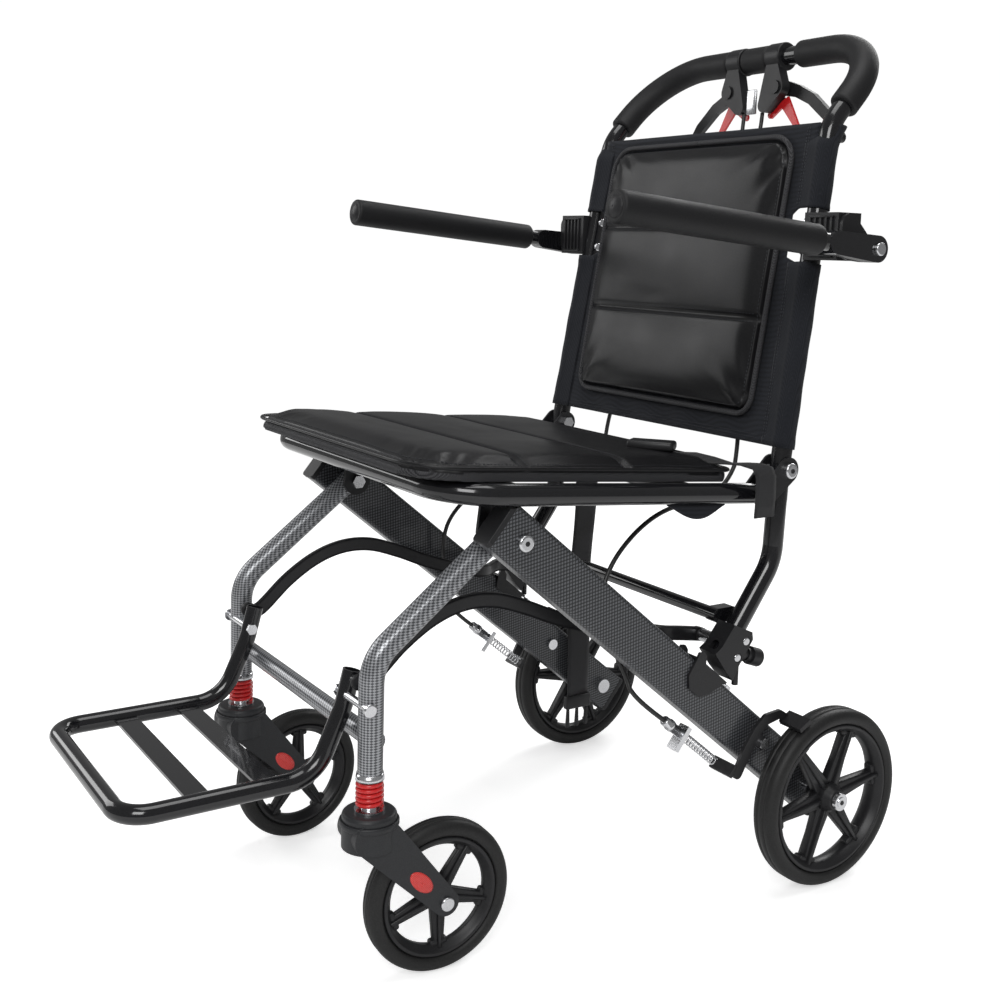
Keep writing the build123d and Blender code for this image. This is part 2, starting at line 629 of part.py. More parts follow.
def make_brake_levers():
    """Two lever clamps side by side on the handle bar, with blades, locks and pins."""
    _, bar_y, bar_z = handle_point(HANDLE_RISE)
    y1 = LEVER_Y + LEVER_BODY_T
    lock_y = y1 + LEVER_GAP
    blade_y = lock_y + LOCK_T + LEVER_GAP
    clamps = []
    for side, name in ((1, "left"), (-1, "right")):
        centre = lever_x(CLAMP_OFFSET, side)
        pivot = (lever_x(41, side), bar_z - 37)
        lock_pin = (lever_x(42, side), bar_z - 50)
        ring = rod(centre - CLAMP_W / 2, centre + CLAMP_W / 2, (bar_y, bar_z), CLAMP_R)
        ring = fillet(ring.edges().filter_by(GeomType.CIRCLE), 2.0)
        body = front_plate([(centre, bar_z - 12, 10), (*pivot, 12), (lever_x(22, side), bar_z - 57, 9)],
                           LEVER_Y, y1)
        clamp = ring + body + rod_y(y1 - 1, blade_y + BLADE_T + 3, pivot, 3.0)
        clamp += rod_y(blade_y + BLADE_T + LEVER_GAP, blade_y + BLADE_T + 3, pivot, 6.5)
        clamp += rod_y(LEVER_Y - 2.5, LEVER_Y + 1, pivot, 8.0)
        clamp += rod_y(y1 - 1, lock_y + LOCK_T - 0.3, lock_pin, 2.0)
        clamp -= rod(centre - CLAMP_W, centre + CLAMP_W, (bar_y, bar_z), TUBE_R + FIT)
        clamps.append(one(clamp))
        spine = [(*pivot, 9), (lever_x(61, side), bar_z - 42, 7.5), (lever_x(84, side), bar_z - 53, 7),
                 (lever_x(112, side), bar_z - 76, 6.5), (lever_x(130, side), bar_z - 101, 6)]
        blade = chain(spine, front_plate, blade_y, blade_y + BLADE_T)
        blade -= rod_y(blade_y - 5, blade_y + 20, pivot, 3.0 + FIT)
        write(f"brake_lever_{name}", one(blade))
        wings = [(lever_x(22, side), bar_z - 68, 4.5), (*lock_pin, 8), (lever_x(66, side), bar_z - 84, 3.5)]
        lock = chain(wings, front_plate, lock_y, lock_y + LOCK_T)
        lock -= rod_y(lock_y - 5, lock_y + 20, lock_pin, 2.0 + FIT)
        lock -= rod_y(lock_y - 5, lock_y + 20, pivot, 14.0)
        write(f"brake_lock_{name}", one(lock))
    write("brake_clamps", *clamps)


def cord(points):
    """A round cable through the points, each bend as wide as its two runs allow."""
    route = [Vector(*p) for p in points]
    radii = []
    for before, here, after in zip(route, route[1:], route[2:]):
        turn = math.radians((here - before).get_angle(after - here))
        shorter = min((here - before).length, (after - here).length)
        radii.append(0.45 * shorter / math.tan(turn / 2))
    return swept(points, radii, CABLE_R)


CABLE_JOIN = (120.0, 277.0, 462.0)


def make_cables():
    """Each brake cable: from its lever down behind the back, then under the seat to its stop."""
    _, _, bar_z = handle_point(HANDLE_RISE)
    join = CABLE_JOIN
    for_side = []
    for side in (1, -1):
        x = lever_x(16, side)
        for_side.append([(x, 404, bar_z - 65.6), (x, 401, bar_z - 106), (side * 6, 366, 762),
                         (side * 30, 326, 668), (side * 84, 300, 570), (side * join[0], 283, 506),
                         (side * join[0], join[1], join[2])])
    write("brake_cables_upper", *[cord(points) for points in for_side])
    stop_y, stop_z = on_beam(284, BRAKE_LINE_V)
    lead_y, lead_z = on_beam(232, BRAKE_LINE_V - 2)
    low = [(join[0], 276.5, 459.5), (join[0] + 2, 262, 434), (132, 206, 428), (146, 130, 418),
           (158, 66, 372), (162, 58, 318), (176, 84, 262), (188, lead_y, lead_z), (192, stop_y, stop_z)]
    write("brake_cables_lower", *both(cord(low)))


# ---------------------------------------------------------------- side beams and rear wheels
def beam_section_plane(u):
    """The plane across the left beam at a distance u from the front pivot."""
    y, z = on_beam(u, 0)
    return Plane(origin=(BEAM_IN_X + BEAM_T / 2, y, z), x_dir=(1, 0, 0),
                 z_dir=(0, math.cos(BEAM_ANGLE), -math.sin(BEAM_ANGLE)))


def make_beams():
    """Box-section beams with end caps, latch saddles and the bolts they carry."""
    length = BEAM_FRONT + BEAM_LENGTH + BEAM_TAIL
    start = beam_section_plane(-BEAM_FRONT)
    beam = extrude(start * RectangleRounded(BEAM_T, BEAM_H, BEAM_EDGE_R), length)
    inside = RectangleRounded(BEAM_T - 2 * BEAM_WALL, BEAM_H - 2 * BEAM_WALL, BEAM_EDGE_R - BEAM_WALL)
    beam -= extrude(start * inside, length)
    through = (BEAM_IN_X - 5, BEAM_OUT_X + 5)
    beam -= rod(*through, FRONT_PIVOT, PIVOT_R + FIT)
    beam -= rod(*through, REAR_AXLE, AXLE_R + FIT)
    beam -= rod(*through, on_beam(*BRAKE_PIVOT), 4.0 + FIT)
    under_seat = box(BEAM_IN_X - 5, BEAM_OUT_X + 5, -160, -20, BEAM_TRIM_Z, BEAM_TRIM_Z + 40)
    beam -= under_seat
    write("side_beams", *both(one(beam)))

    caps = []
    for u in (-BEAM_FRONT - CAP_T - 0.1, BEAM_LENGTH + BEAM_TAIL + 0.1):
        cap = extrude(beam_section_plane(u) * RectangleRounded(BEAM_T + 1, BEAM_H + 1, BEAM_EDGE_R), CAP_T)
        cap = fillet(cap.edges().filter_by(GeomType.LINE).group_by(Axis.X)[0], 0.8)
        caps += both(one(cap - under_seat))
    write("beam_caps", *caps)

    cheek_out = BEAM_OUT_X + 0.3
    cheek_in = BEAM_IN_X - 0.3
    crown = BEAM_H / 2 + 3.2
    ear = [(264, 26), (263, 33), (268, 36), (274, 34), (278, crown)]
    tongue = ear + [(318, crown), (304, 6), (294, -4), (276, -4), (266, 6)]
    shelf = [(264, crown - 2.9), (264, crown), (318, crown), (318, crown - 2.9)]
    inner = ear + [(316, crown), (308, 12), (272, 12)]
    saddle = side_polygon([on_beam(u, v) for u, v in tongue], cheek_out, cheek_out + 3)
    saddle += side_polygon([on_beam(u, v) for u, v in shelf], cheek_in - 3, cheek_out + 3)
    saddle += side_polygon([on_beam(u, v) for u, v in inner], cheek_in - 3, cheek_in)
    write("latch_saddles", *both(one(saddle)))

    axle = rod(BEAM_IN_X - 8, REAR_X + 25, REAR_AXLE, AXLE_R)
    axle += rod(BEAM_IN_X - 8, BEAM_IN_X - 0.2, REAR_AXLE, 9.5)
    axle += rod(REAR_X + 19, REAR_X + 24, REAR_AXLE, 9.5)
    arm_out = BRAKE_ARM_X + BRAKE_ARM_T
    pivot = rod(BEAM_IN_X - 4, arm_out + 3, on_beam(*BRAKE_PIVOT), 4.0)
    pivot += rod(BEAM_IN_X - 4, BEAM_IN_X - 0.2, on_beam(*BRAKE_PIVOT), 7.0)
    pivot += rod(BEAM_OUT_X + 0.2, BRAKE_ARM_X - GAP, on_beam(*BRAKE_PIVOT), 6.0)
    pivot += rod(arm_out + GAP, arm_out + 3, on_beam(*BRAKE_PIVOT), 6.0)
    stop = rod(BEAM_OUT_X + 0.2, BEAM_OUT_X + 4.5, on_beam(*BRAKE_STOP_BOLT), 4.0)
    strike_y, strike_z = on_beam(336, BEAM_H / 2 + 0.2)
    tilt = Plane(origin=(BEAM_IN_X + BEAM_T / 2, strike_y, strike_z),
                 z_dir=(0, math.sin(BEAM_ANGLE), math.cos(BEAM_ANGLE)))
    strike = extrude(tilt * RegularPolygon(6.0, 6), 4)
    pieces = []
    for piece in (axle, pivot, stop, strike):
        pieces += both(one(piece))
    write("beam_bolts", *pieces)


def beam_line_plane(x, u, v):
    """A plane across the brake cable's line, facing down the beam."""
    y, z = on_beam(u, v)
    return Plane(origin=(x, y, z), x_dir=(1, 0, 0), z_dir=(0, math.cos(BEAM_ANGLE), -math.sin(BEAM_ANGLE)))


BRAKE_LINE_X = 192.0


def coil(plane, mean_r, wire_r, height, turns):
    """A round-wire coil standing on a plane."""
    helix = Helix(pitch=height / turns, height=height, radius=mean_r)
    profile = Plane(origin=helix @ 0, z_dir=helix % 0) * Circle(wire_r)
    return plane.location * one(sweep(profile, path=helix))


def make_brakes():
    """Cable stops under the beams, return springs, and the arms that press on the tyres."""
    bottom_v = -BEAM_H / 2 - 0.2
    stop = beam_line_plane(BRAKE_LINE_X, STOP_U, BRAKE_LINE_V)
    plate = extrude(stop * Pos(0, 4) * Rectangle(14, 29), STOP_T)
    foot = extrude(beam_line_plane(BRAKE_LINE_X, STOP_U, bottom_v - 1.5) * Rectangle(14, 3), 34)
    ferrule = extrude(stop.offset(-28) * Circle(4.5), 28)
    bracket = plate + foot + ferrule - extrude(stop.offset(-29) * Circle(CABLE_R + 0.2), 19)
    write("cable_stops", *both(one(bracket)))

    length = SPRING_END_U - STOP_U - STOP_T - 0.6
    seat = beam_line_plane(BRAKE_LINE_X, STOP_U + STOP_T + 0.3 + 1.2, BRAKE_LINE_V)
    spring = coil(seat, 4.6, 0.8, length - 2.4, 12)
    write("brake_springs", *both(spring))

    x0 = BRAKE_ARM_X
    x1 = x0 + BRAKE_ARM_T
    ux = math.sin(math.radians(28.6))
    uz = math.cos(math.radians(28.6))
    reach = REAR_R + PAD_GAP + PAD_RADIAL / 2
    pad_y = REAR_AXLE[0] - reach * ux
    pad_z = REAR_AXLE[1] + reach * uz
    arm = chain([beam_circle(391, -42, 6), beam_circle(386, -14, 6.5), beam_circle(385, 8, 6.5),
                 beam_circle(388, 24, 6), beam_circle(401, 38, 5), (pad_y, pad_z, 4)], side_plate, x0, x1)
    arm += side_plate([beam_circle(*BRAKE_PIVOT, 7.2), beam_circle(387, 0, 7)], x0, x1)
    pad = Plane(origin=(x0, pad_y, pad_z), x_dir=(0, uz, ux), z_dir=(1, 0, 0))
    arm += extrude(pad * Rectangle(PAD_LENGTH, PAD_RADIAL), REAR_X + REAR_W / 2 - 2 - x0)
    arm += extrude(beam_line_plane(BRAKE_LINE_X + 11, SPRING_END_U, BRAKE_LINE_V) * Rectangle(32, 14), 5)
    arm -= rod(x0 - 5, x1 + 5, on_beam(*BRAKE_PIVOT), 4.0 + FIT)
    arm = one(arm)
    write("brake_arm_left", arm)
    write("brake_arm_right", mirrored(arm))


def ring(x0, x1, centre, outer, inner, edge):
    """A ring about an axle along X, its outer edges rounded."""
    body = rod(x0, x1, centre, outer)
    body = fillet(body.edges().filter_by(GeomType.CIRCLE), edge)
    return body - rod(x0 - 1, x1 + 1, centre, inner)


def wheel_rim(x, width, centre, rim_r, hub_r, hub_half, bore, spokes, phase):
    """A moulded wheel: rim ring, tapered spokes and hub, as one solid."""
    rim = ring(x - width / 2, x + width / 2, centre, rim_r, rim_r - 8, 0.5)
    rim += rod(x - hub_half, x + hub_half, centre, hub_r)
    y, z = centre
    mid = (hub_r + rim_r) / 2
    for k in range(spokes):
        turn = Pos(x, y, z) * Rot(phase + 360 * k / spokes, 0, 0)
        web = Plane.YZ * make_face(Polyline((hub_r - 4, -9), (rim_r - 5, -5), (rim_r - 5, 5),
                                            (hub_r - 4, 9), close=True))
        rim += turn * extrude(web, width * 0.22, both=True)
        rim += turn * Pos(0, mid, 0) * Box(width * 0.75, rim_r - hub_r - 4, 3.5)
    return one(rim - rod(x - 60, x + 60, centre, bore))


def make_rear_wheels():
    """Rear rims and tyres."""
    x0 = REAR_X - REAR_W / 2
    x1 = REAR_X + REAR_W / 2
    rim = wheel_rim(REAR_X, REAR_W - 8, REAR_AXLE, REAR_RIM_R, HUB_R, 18.5, AXLE_R + FIT, 6, 8.0)
    tyre = one(ring(x0, x1, REAR_AXLE, REAR_R, REAR_RIM_R + TYRE_SEAT, 9.0))
    write("rear_rim_left", rim)
    write("rear_rim_right", mirrored(rim))
    write("rear_tyre_left", tyre)
    write("rear_tyre_right", mirrored(tyre))


# ---------------------------------------------------------------- front legs and casters
def leg_corners():
    """The left front leg's corners, from above the pivot down to the stem."""
    corner_z = 316.8
    dy = STEM_Y - FRONT_PIVOT[0]
    dz = corner_z - FRONT_PIVOT[1]
    run = math.hypot(dy, dz)
    top = (LEG_X, FRONT_PIVOT[0] - 14 * dy / run, FRONT_PIVOT[1] - 14 * dz / run)
    return [top, (LEG_X, STEM_Y, corner_z), (LEG_X, STEM_Y, LEG_BOTTOM_Z)]


def make_front_legs():
    """Bent front legs, their cross tube, stem collars and the footrest's bolts."""
    leg = swept(leg_corners(), [LEG_BEND_R], LEG_R, LEG_R - LEG_WALL)
    leg -= rod(LEG_X - 20, LEG_X + 20, FRONT_PIVOT, PIVOT_R + FIT)
    leg -= rod(LEG_X - 20, LEG_X + 20, FOOT_PIVOT, FOOT_PIVOT_R + FIT)
    write("front_legs", *both(one(leg)))

    cross = rod(-LEG_X, LEG_X, CROSS_TUBE, CROSS_TUBE_R) - rod(-LEG_X, LEG_X, CROSS_TUBE, CROSS_TUBE_R - 1.6)
    for side in (1, -1):
        cross -= rod_z(150, 330, (side * LEG_X, STEM_Y), LEG_R + 0.1)
    write("front_cross_tube", max(cross.solids(), key=lambda s: s.volume))

    here = (LEG_X, STEM_Y)
    collar = rod_z(COLLAR_Z, LEG_BOTTOM_Z - 0.1, here, LEG_R)
    collar += rod_z(COLLAR_Z, LEG_BOTTOM_Z + 22, here, LEG_R - LEG_WALL - 0.1)
    collar -= rod_z(COLLAR_Z - 5, LEG_BOTTOM_Z + 40, here, STEM_R + FIT)
    write("stem_collars", *both(one(collar)))

    pin = bolt(FOOT_X - FOOT_R - GAP, LEG_X + LEG_R + GAP, FOOT_PIVOT, FOOT_PIVOT_R, 6.5, 3.5)
    write("footrest_bolts", *both(pin))

    height = COLLAR_Z - FLANGE_Z - FLANGE_T - 2 * WIRE_R - 0.4
    base = Plane(origin=(LEG_X, STEM_Y, FLANGE_Z + FLANGE_T + WIRE_R + 0.2))
    write("caster_springs", *both(coil(base, COIL_R, WIRE_R, height, COIL_TURNS)))


def caster_turn(shape):
    """Place a caster piece, drawn round the origin and trailing along Y, at the left stem."""
    return Pos(LEG_X, STEM_Y, 0) * Rot(0, 0, -TOE) * shape


def make_casters():
    """Stems, forks, axles, rims and tyres of the two casters."""
    axle = (TRAIL, CASTER_R)
    stem = rod_z(FORK_LOW_Z - 6, STEM_TOP_Z, (0, 0), STEM_R)
    stem += rod_z(FLANGE_Z, FLANGE_Z + FLANGE_T, (0, 0), 14.5)

    head = rod_z(FORK_LOW_Z, FLANGE_Z - GAP, (0, 0), FORK_HEAD_R)
    head = fillet(head.edges().group_by(Axis.Z)[-1], 4.0)
    cheek = side_plate([(-6, FORK_LOW_Z + 14, 17), (8, FORK_LOW_Z + 12, 17), (*axle, 13)],
                       -FORK_OUT, FORK_OUT)
    fork = head + cheek
    fork -= rod(-FORK_IN, FORK_IN, axle, CASTER_R + 4)
    fork -= rod(-FORK_IN, FORK_IN, axle, 30)
    fork -= box(-FORK_IN, FORK_IN, 20, 120, 40, 128)
    fork -= rod_z(100, 200, (0, 0), STEM_R + FIT)
    fork -= rod_z(FORK_LOW_Z - 40, FORK_LOW_Z, (0, 0), STEM_R + 6)
    fork -= rod(-40, 40, axle, CASTER_AXLE_R + FIT)

    pin = bolt(-FORK_OUT - 0.2, FORK_OUT + 0.2, axle, CASTER_AXLE_R, 7.0, 3.5)
    rim = wheel_rim(0, CASTER_W - 5, axle, CASTER_RIM_R, 13.0, FORK_IN - 1.0, CASTER_AXLE_R + FIT, 5, 20.0)
    tyre = one(ring(-CASTER_W / 2, CASTER_W / 2, axle, CASTER_R, CASTER_RIM_R + TYRE_SEAT, 8.0))
    pieces = (("caster_stem", stem), ("caster_fork", fork), ("caster_axle", pin),
              ("caster_rim", rim), ("caster_tyre", tyre))
    for name, piece in pieces:
        placed = caster_turn(one(piece))
        write(f"{name}_left", placed)
        write(f"{name}_right", mirrored(placed))


# ---------------------------------------------------------------- footrest and links
def make_footrest():
    """The bent footrest tube with its two flat slats."""
    half = [(FOOT_X, -203, 297), (FOOT_X, -212, 262), (FOOT_X, -241, FOOT_BAR[1]),
            (FOOT_X, FOOT_BAR[0], FOOT_BAR[1])]
    points = half + [(-x, y, z) for x, y, z in reversed(half)]
    tube = swept(points, [60.0, 42.0, 28.0, 28.0, 42.0, 60.0], FOOT_R, FOOT_R - 1.5)
    for side in (1, -1):
        tube -= rod(side * (FOOT_X - 15), side * (FOOT_X + 15), FOOT_PIVOT, FOOT_PIVOT_R + FIT)
        stud_y, stud_z = LINK_FRONT
        tube += rod(side * (FOOT_X + 5), side * (LINK_X - 0.8), (stud_y, stud_z), 5.0)
    write("footrest_tube", max(tube.solids(), key=lambda s: s.volume))
    reach = FOOT_X - FOOT_R - 0.2
    z = FOOT_BAR[1]
    slats = [box(-reach, reach, y - SLAT_W / 2, y + SLAT_W / 2, z - SLAT_T / 2, z + SLAT_T / 2)
             for y in SLAT_YS]
    write("footrest_slats", *slats)


def make_links():
    """Flat arched links from the footrest to the rear legs, stepped outwards at the back."""
    arch = [(*LINK_FRONT, LINK_HALF), (-191, 290, LINK_HALF), (-158, 319, LINK_HALF),
            (-124, 340, LINK_HALF), (-90, 350, LINK_HALF), (-55, 349, LINK_HALF), (-18, 337, LINK_HALF),
            (20, 321, LINK_HALF), (60, 308, LINK_HALF), (LINK_JOG_Y[0], 299, LINK_HALF)]
    bar = chain(arch, side_plate, LINK_X, LINK_X + LINK_T)
    low_z = 299 - LINK_HALF
    step = [(LINK_X, LINK_JOG_Y[0] - 3), (LINK_X + LINK_T, LINK_JOG_Y[0] - 5),
            (LINK_REAR_X + LINK_T, LINK_JOG_Y[1] - 1), (LINK_REAR_X, LINK_JOG_Y[1] + 1)]
    jog = extrude(Plane(origin=(0, 0, low_z - 4)) * make_face(Polyline(*step, close=True)), 18)
    rear = chain([(LINK_JOG_Y[1] - 2, 294, LINK_HALF), (*LINK_REAR, LINK_HALF)], side_plate,
                 LINK_REAR_X, LINK_REAR_X + LINK_T)
    bar = bar + jog + rear - rod(LINK_REAR_X - 5, LINK_REAR_X + 10, LINK_REAR, 4.0 + FIT)
    bar += rod(LINK_X, LINK_X + LINK_T + 3, LINK_FRONT, 5.5)
    write("links", *both(one(bar)))


def main():
    """Write every sub-part."""
    os.makedirs("parts", exist_ok=True)
    make_seat_frame()
    make_cushion()
    make_belt()
    make_back_tubes()
    make_back_soft()
    make_armrest_brackets()
    make_armrests()
    make_latches()
    make_back_bolts()
    make_brake_levers()
    make_cables()
    make_beams()
    make_brakes()
    make_rear_wheels()
    make_front_legs()
    make_casters()
    make_footrest()
    make_links()


main()
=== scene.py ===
"""Looks of the folding transit wheelchair, built round its packed mechanical model.

Lengths are in metres. +X is the sitter's left, +Y the back and +Z up. Each sub-assembly is a class that makes
its meshes, dresses them and hands them to the body they move with.
"""

import logging
import math
import random
from dataclasses import dataclass
from enum import Enum
from typing import Callable, Iterable, Sequence, Union

import bmesh
import bpy
from mathutils import Matrix, Vector
from mathutils.bvhtree import BVHTree


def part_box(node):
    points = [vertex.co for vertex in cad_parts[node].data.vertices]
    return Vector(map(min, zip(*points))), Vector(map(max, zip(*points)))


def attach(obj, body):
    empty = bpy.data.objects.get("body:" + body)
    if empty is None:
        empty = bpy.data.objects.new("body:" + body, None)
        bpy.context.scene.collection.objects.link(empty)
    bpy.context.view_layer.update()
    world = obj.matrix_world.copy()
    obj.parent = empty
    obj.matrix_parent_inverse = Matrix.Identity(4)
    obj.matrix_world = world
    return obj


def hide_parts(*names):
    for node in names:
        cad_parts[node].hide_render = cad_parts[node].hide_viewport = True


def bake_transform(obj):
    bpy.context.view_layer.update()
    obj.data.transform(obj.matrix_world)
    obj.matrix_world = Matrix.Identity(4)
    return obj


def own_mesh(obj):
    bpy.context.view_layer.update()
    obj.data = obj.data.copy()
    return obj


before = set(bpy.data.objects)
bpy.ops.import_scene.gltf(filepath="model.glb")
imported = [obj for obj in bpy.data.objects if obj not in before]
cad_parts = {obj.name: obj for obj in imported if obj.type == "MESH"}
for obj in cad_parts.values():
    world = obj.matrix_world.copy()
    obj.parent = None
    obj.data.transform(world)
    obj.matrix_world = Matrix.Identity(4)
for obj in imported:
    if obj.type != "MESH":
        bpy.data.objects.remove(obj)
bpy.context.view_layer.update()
LOG = logging.getLogger("wheelchair")
MM = 0.001
SIDES = (("left", 1.0), ("right", -1.0))

# sizes shared with the mechanical model
BEAM_ANGLE = math.atan2(323.0, 398.0)
FRONT_PIVOT = Vector((0.0, -0.068, 0.423))
BACK_HINGE = Vector((0.0, 0.263, 0.470))
UPRIGHT_TOP = Vector((0.0, 0.323, 0.840))
BACK_ANGLE = math.atan2(UPRIGHT_TOP.y - BACK_HINGE.y, UPRIGHT_TOP.z - BACK_HINGE.z)
BACK_RUN = math.hypot(UPRIGHT_TOP.y - BACK_HINGE.y, UPRIGHT_TOP.z - BACK_HINGE.z)
HANDLE_TILT = math.radians(42.4)
SEAT_SLOPE = 0.0762

Value = Union[float, Sequence[float], bpy.types.NodeSocket]


def seat_height(y: float) -> float:
    """Height of the seat tube's centre line at y."""
    return 0.4743 - SEAT_SLOPE * (y + 0.146)


def up_back(x: float, t: float, n: float) -> Vector:
    """A point t up the back from its hinge and n behind the plane of the uprights."""
    return Vector((x, BACK_HINGE.y + t * math.sin(BACK_ANGLE) + n * math.cos(BACK_ANGLE),
                   BACK_HINGE.z + t * math.cos(BACK_ANGLE) - n * math.sin(BACK_ANGLE)))


def upright_x(t: float) -> float:
    """Distance of an upright's centre from the middle, t up the back."""
    return 0.203 - 0.011 * t / BACK_RUN


def at_height(z: float) -> float:
    """Distance up the back at which the uprights reach the height z."""
    return (z - BACK_HINGE.z) / math.cos(BACK_ANGLE)


def handle_point(s: float, x: float) -> Vector:
    """A point on the tilted push handle, s above the uprights' ends."""
    return Vector((x, UPRIGHT_TOP.y + s * math.sin(HANDLE_TILT), UPRIGHT_TOP.z + s * math.cos(HANDLE_TILT)))


def on_beam(x: float, u: float, v: float) -> Vector:
    """A point u along a side beam from the front pivot and v above its centre line."""
    return Vector((x, FRONT_PIVOT.y + u * math.cos(BEAM_ANGLE) + v * math.sin(BEAM_ANGLE),
                   FRONT_PIVOT.z - u * math.sin(BEAM_ANGLE) + v * math.cos(BEAM_ANGLE)))


# ------------------------------------------------------------------------------------------ node graphs
class Graph:
    """Short calls that add and wire the nodes of one tree."""

    def __init__(self, tree: bpy.types.NodeTree) -> None:
        """Keep the tree that nodes are added to."""
        self.tree = tree

    def put(self, socket: bpy.types.NodeSocket, value: Value) -> None:
        """Link a socket to an input, or set the input's own value."""
        if isinstance(value, bpy.types.NodeSocket):
            self.tree.links.new(value, socket)
        else:
            socket.default_value = value

    def node(self, kind: str, inputs: dict[Union[str, int], Value], **settings: object) -> bpy.types.Node:
        """Add a node.

        Args:
            kind: Blender's type name.
            inputs: values or sockets by input name or number.
            settings: the node's own properties.
        Returns:
            The new node.
        """
        made = self.tree.nodes.new(kind)
        for key, setting in settings.items():
            setattr(made, key, setting)
        for key, value in inputs.items():
            self.put(made.inputs[key], value)
        return made

    def math(self, operation: str, first: Value, second: Value = 0.0, third: Value = 0.0) -> bpy.types.NodeSocket:
        """A scalar operation's result."""
        return self.node("ShaderNodeMath", {0: first, 1: second, 2: third}, operation=operation).outputs[0]

    def vector(self, operation: str, first: Value, second: Value = (0.0, 0.0, 0.0)) -> bpy.types.Node:
        """A vector operation's node."""
        return self.node("ShaderNodeVectorMath", {0: first, 1: second}, operation=operation)

    def blend(self, amount: Value, low: Value, high: Value) -> bpy.types.NodeSocket:
        """A colour between two, by amount."""
        mix = self.node("ShaderNodeMix", {0: amount, 6: low, 7: high}, data_type="RGBA")
        return mix.outputs[2]

    def remap(self, value: Value, low: float, high: float, to_low: float = 0.0, to_high: float = 1.0) \
            -> bpy.types.NodeSocket:
        """A value moved from one range to another and held inside it."""
        parts = {0: value, 1: low, 2: high, 3: to_low, 4: to_high}
        return self.node("ShaderNodeMapRange", parts, clamp=True).outputs[0]

    def noise(self, vector: Value, scale: Value, detail: float = 3.0, roughness: float = 0.5) \
            -> bpy.types.NodeSocket:
        """Cloudy noise from 0 to 1."""
        parts = {"Vector": vector, "Scale": scale, "Detail": detail, "Roughness": roughness}
        return self.node("ShaderNodeTexNoise", parts).outputs[0]

    def split(self, vector: Value) -> list[bpy.types.NodeSocket]:
        """The three parts of a vector."""
        return list(self.node("ShaderNodeSeparateXYZ", {0: vector}).outputs)

    def join(self, x: Value, y: Value, z: Value = 0.0) -> bpy.types.NodeSocket:
        """A vector from three numbers."""
        return self.node("ShaderNodeCombineXYZ", {0: x, 1: y, 2: z}).outputs[0]


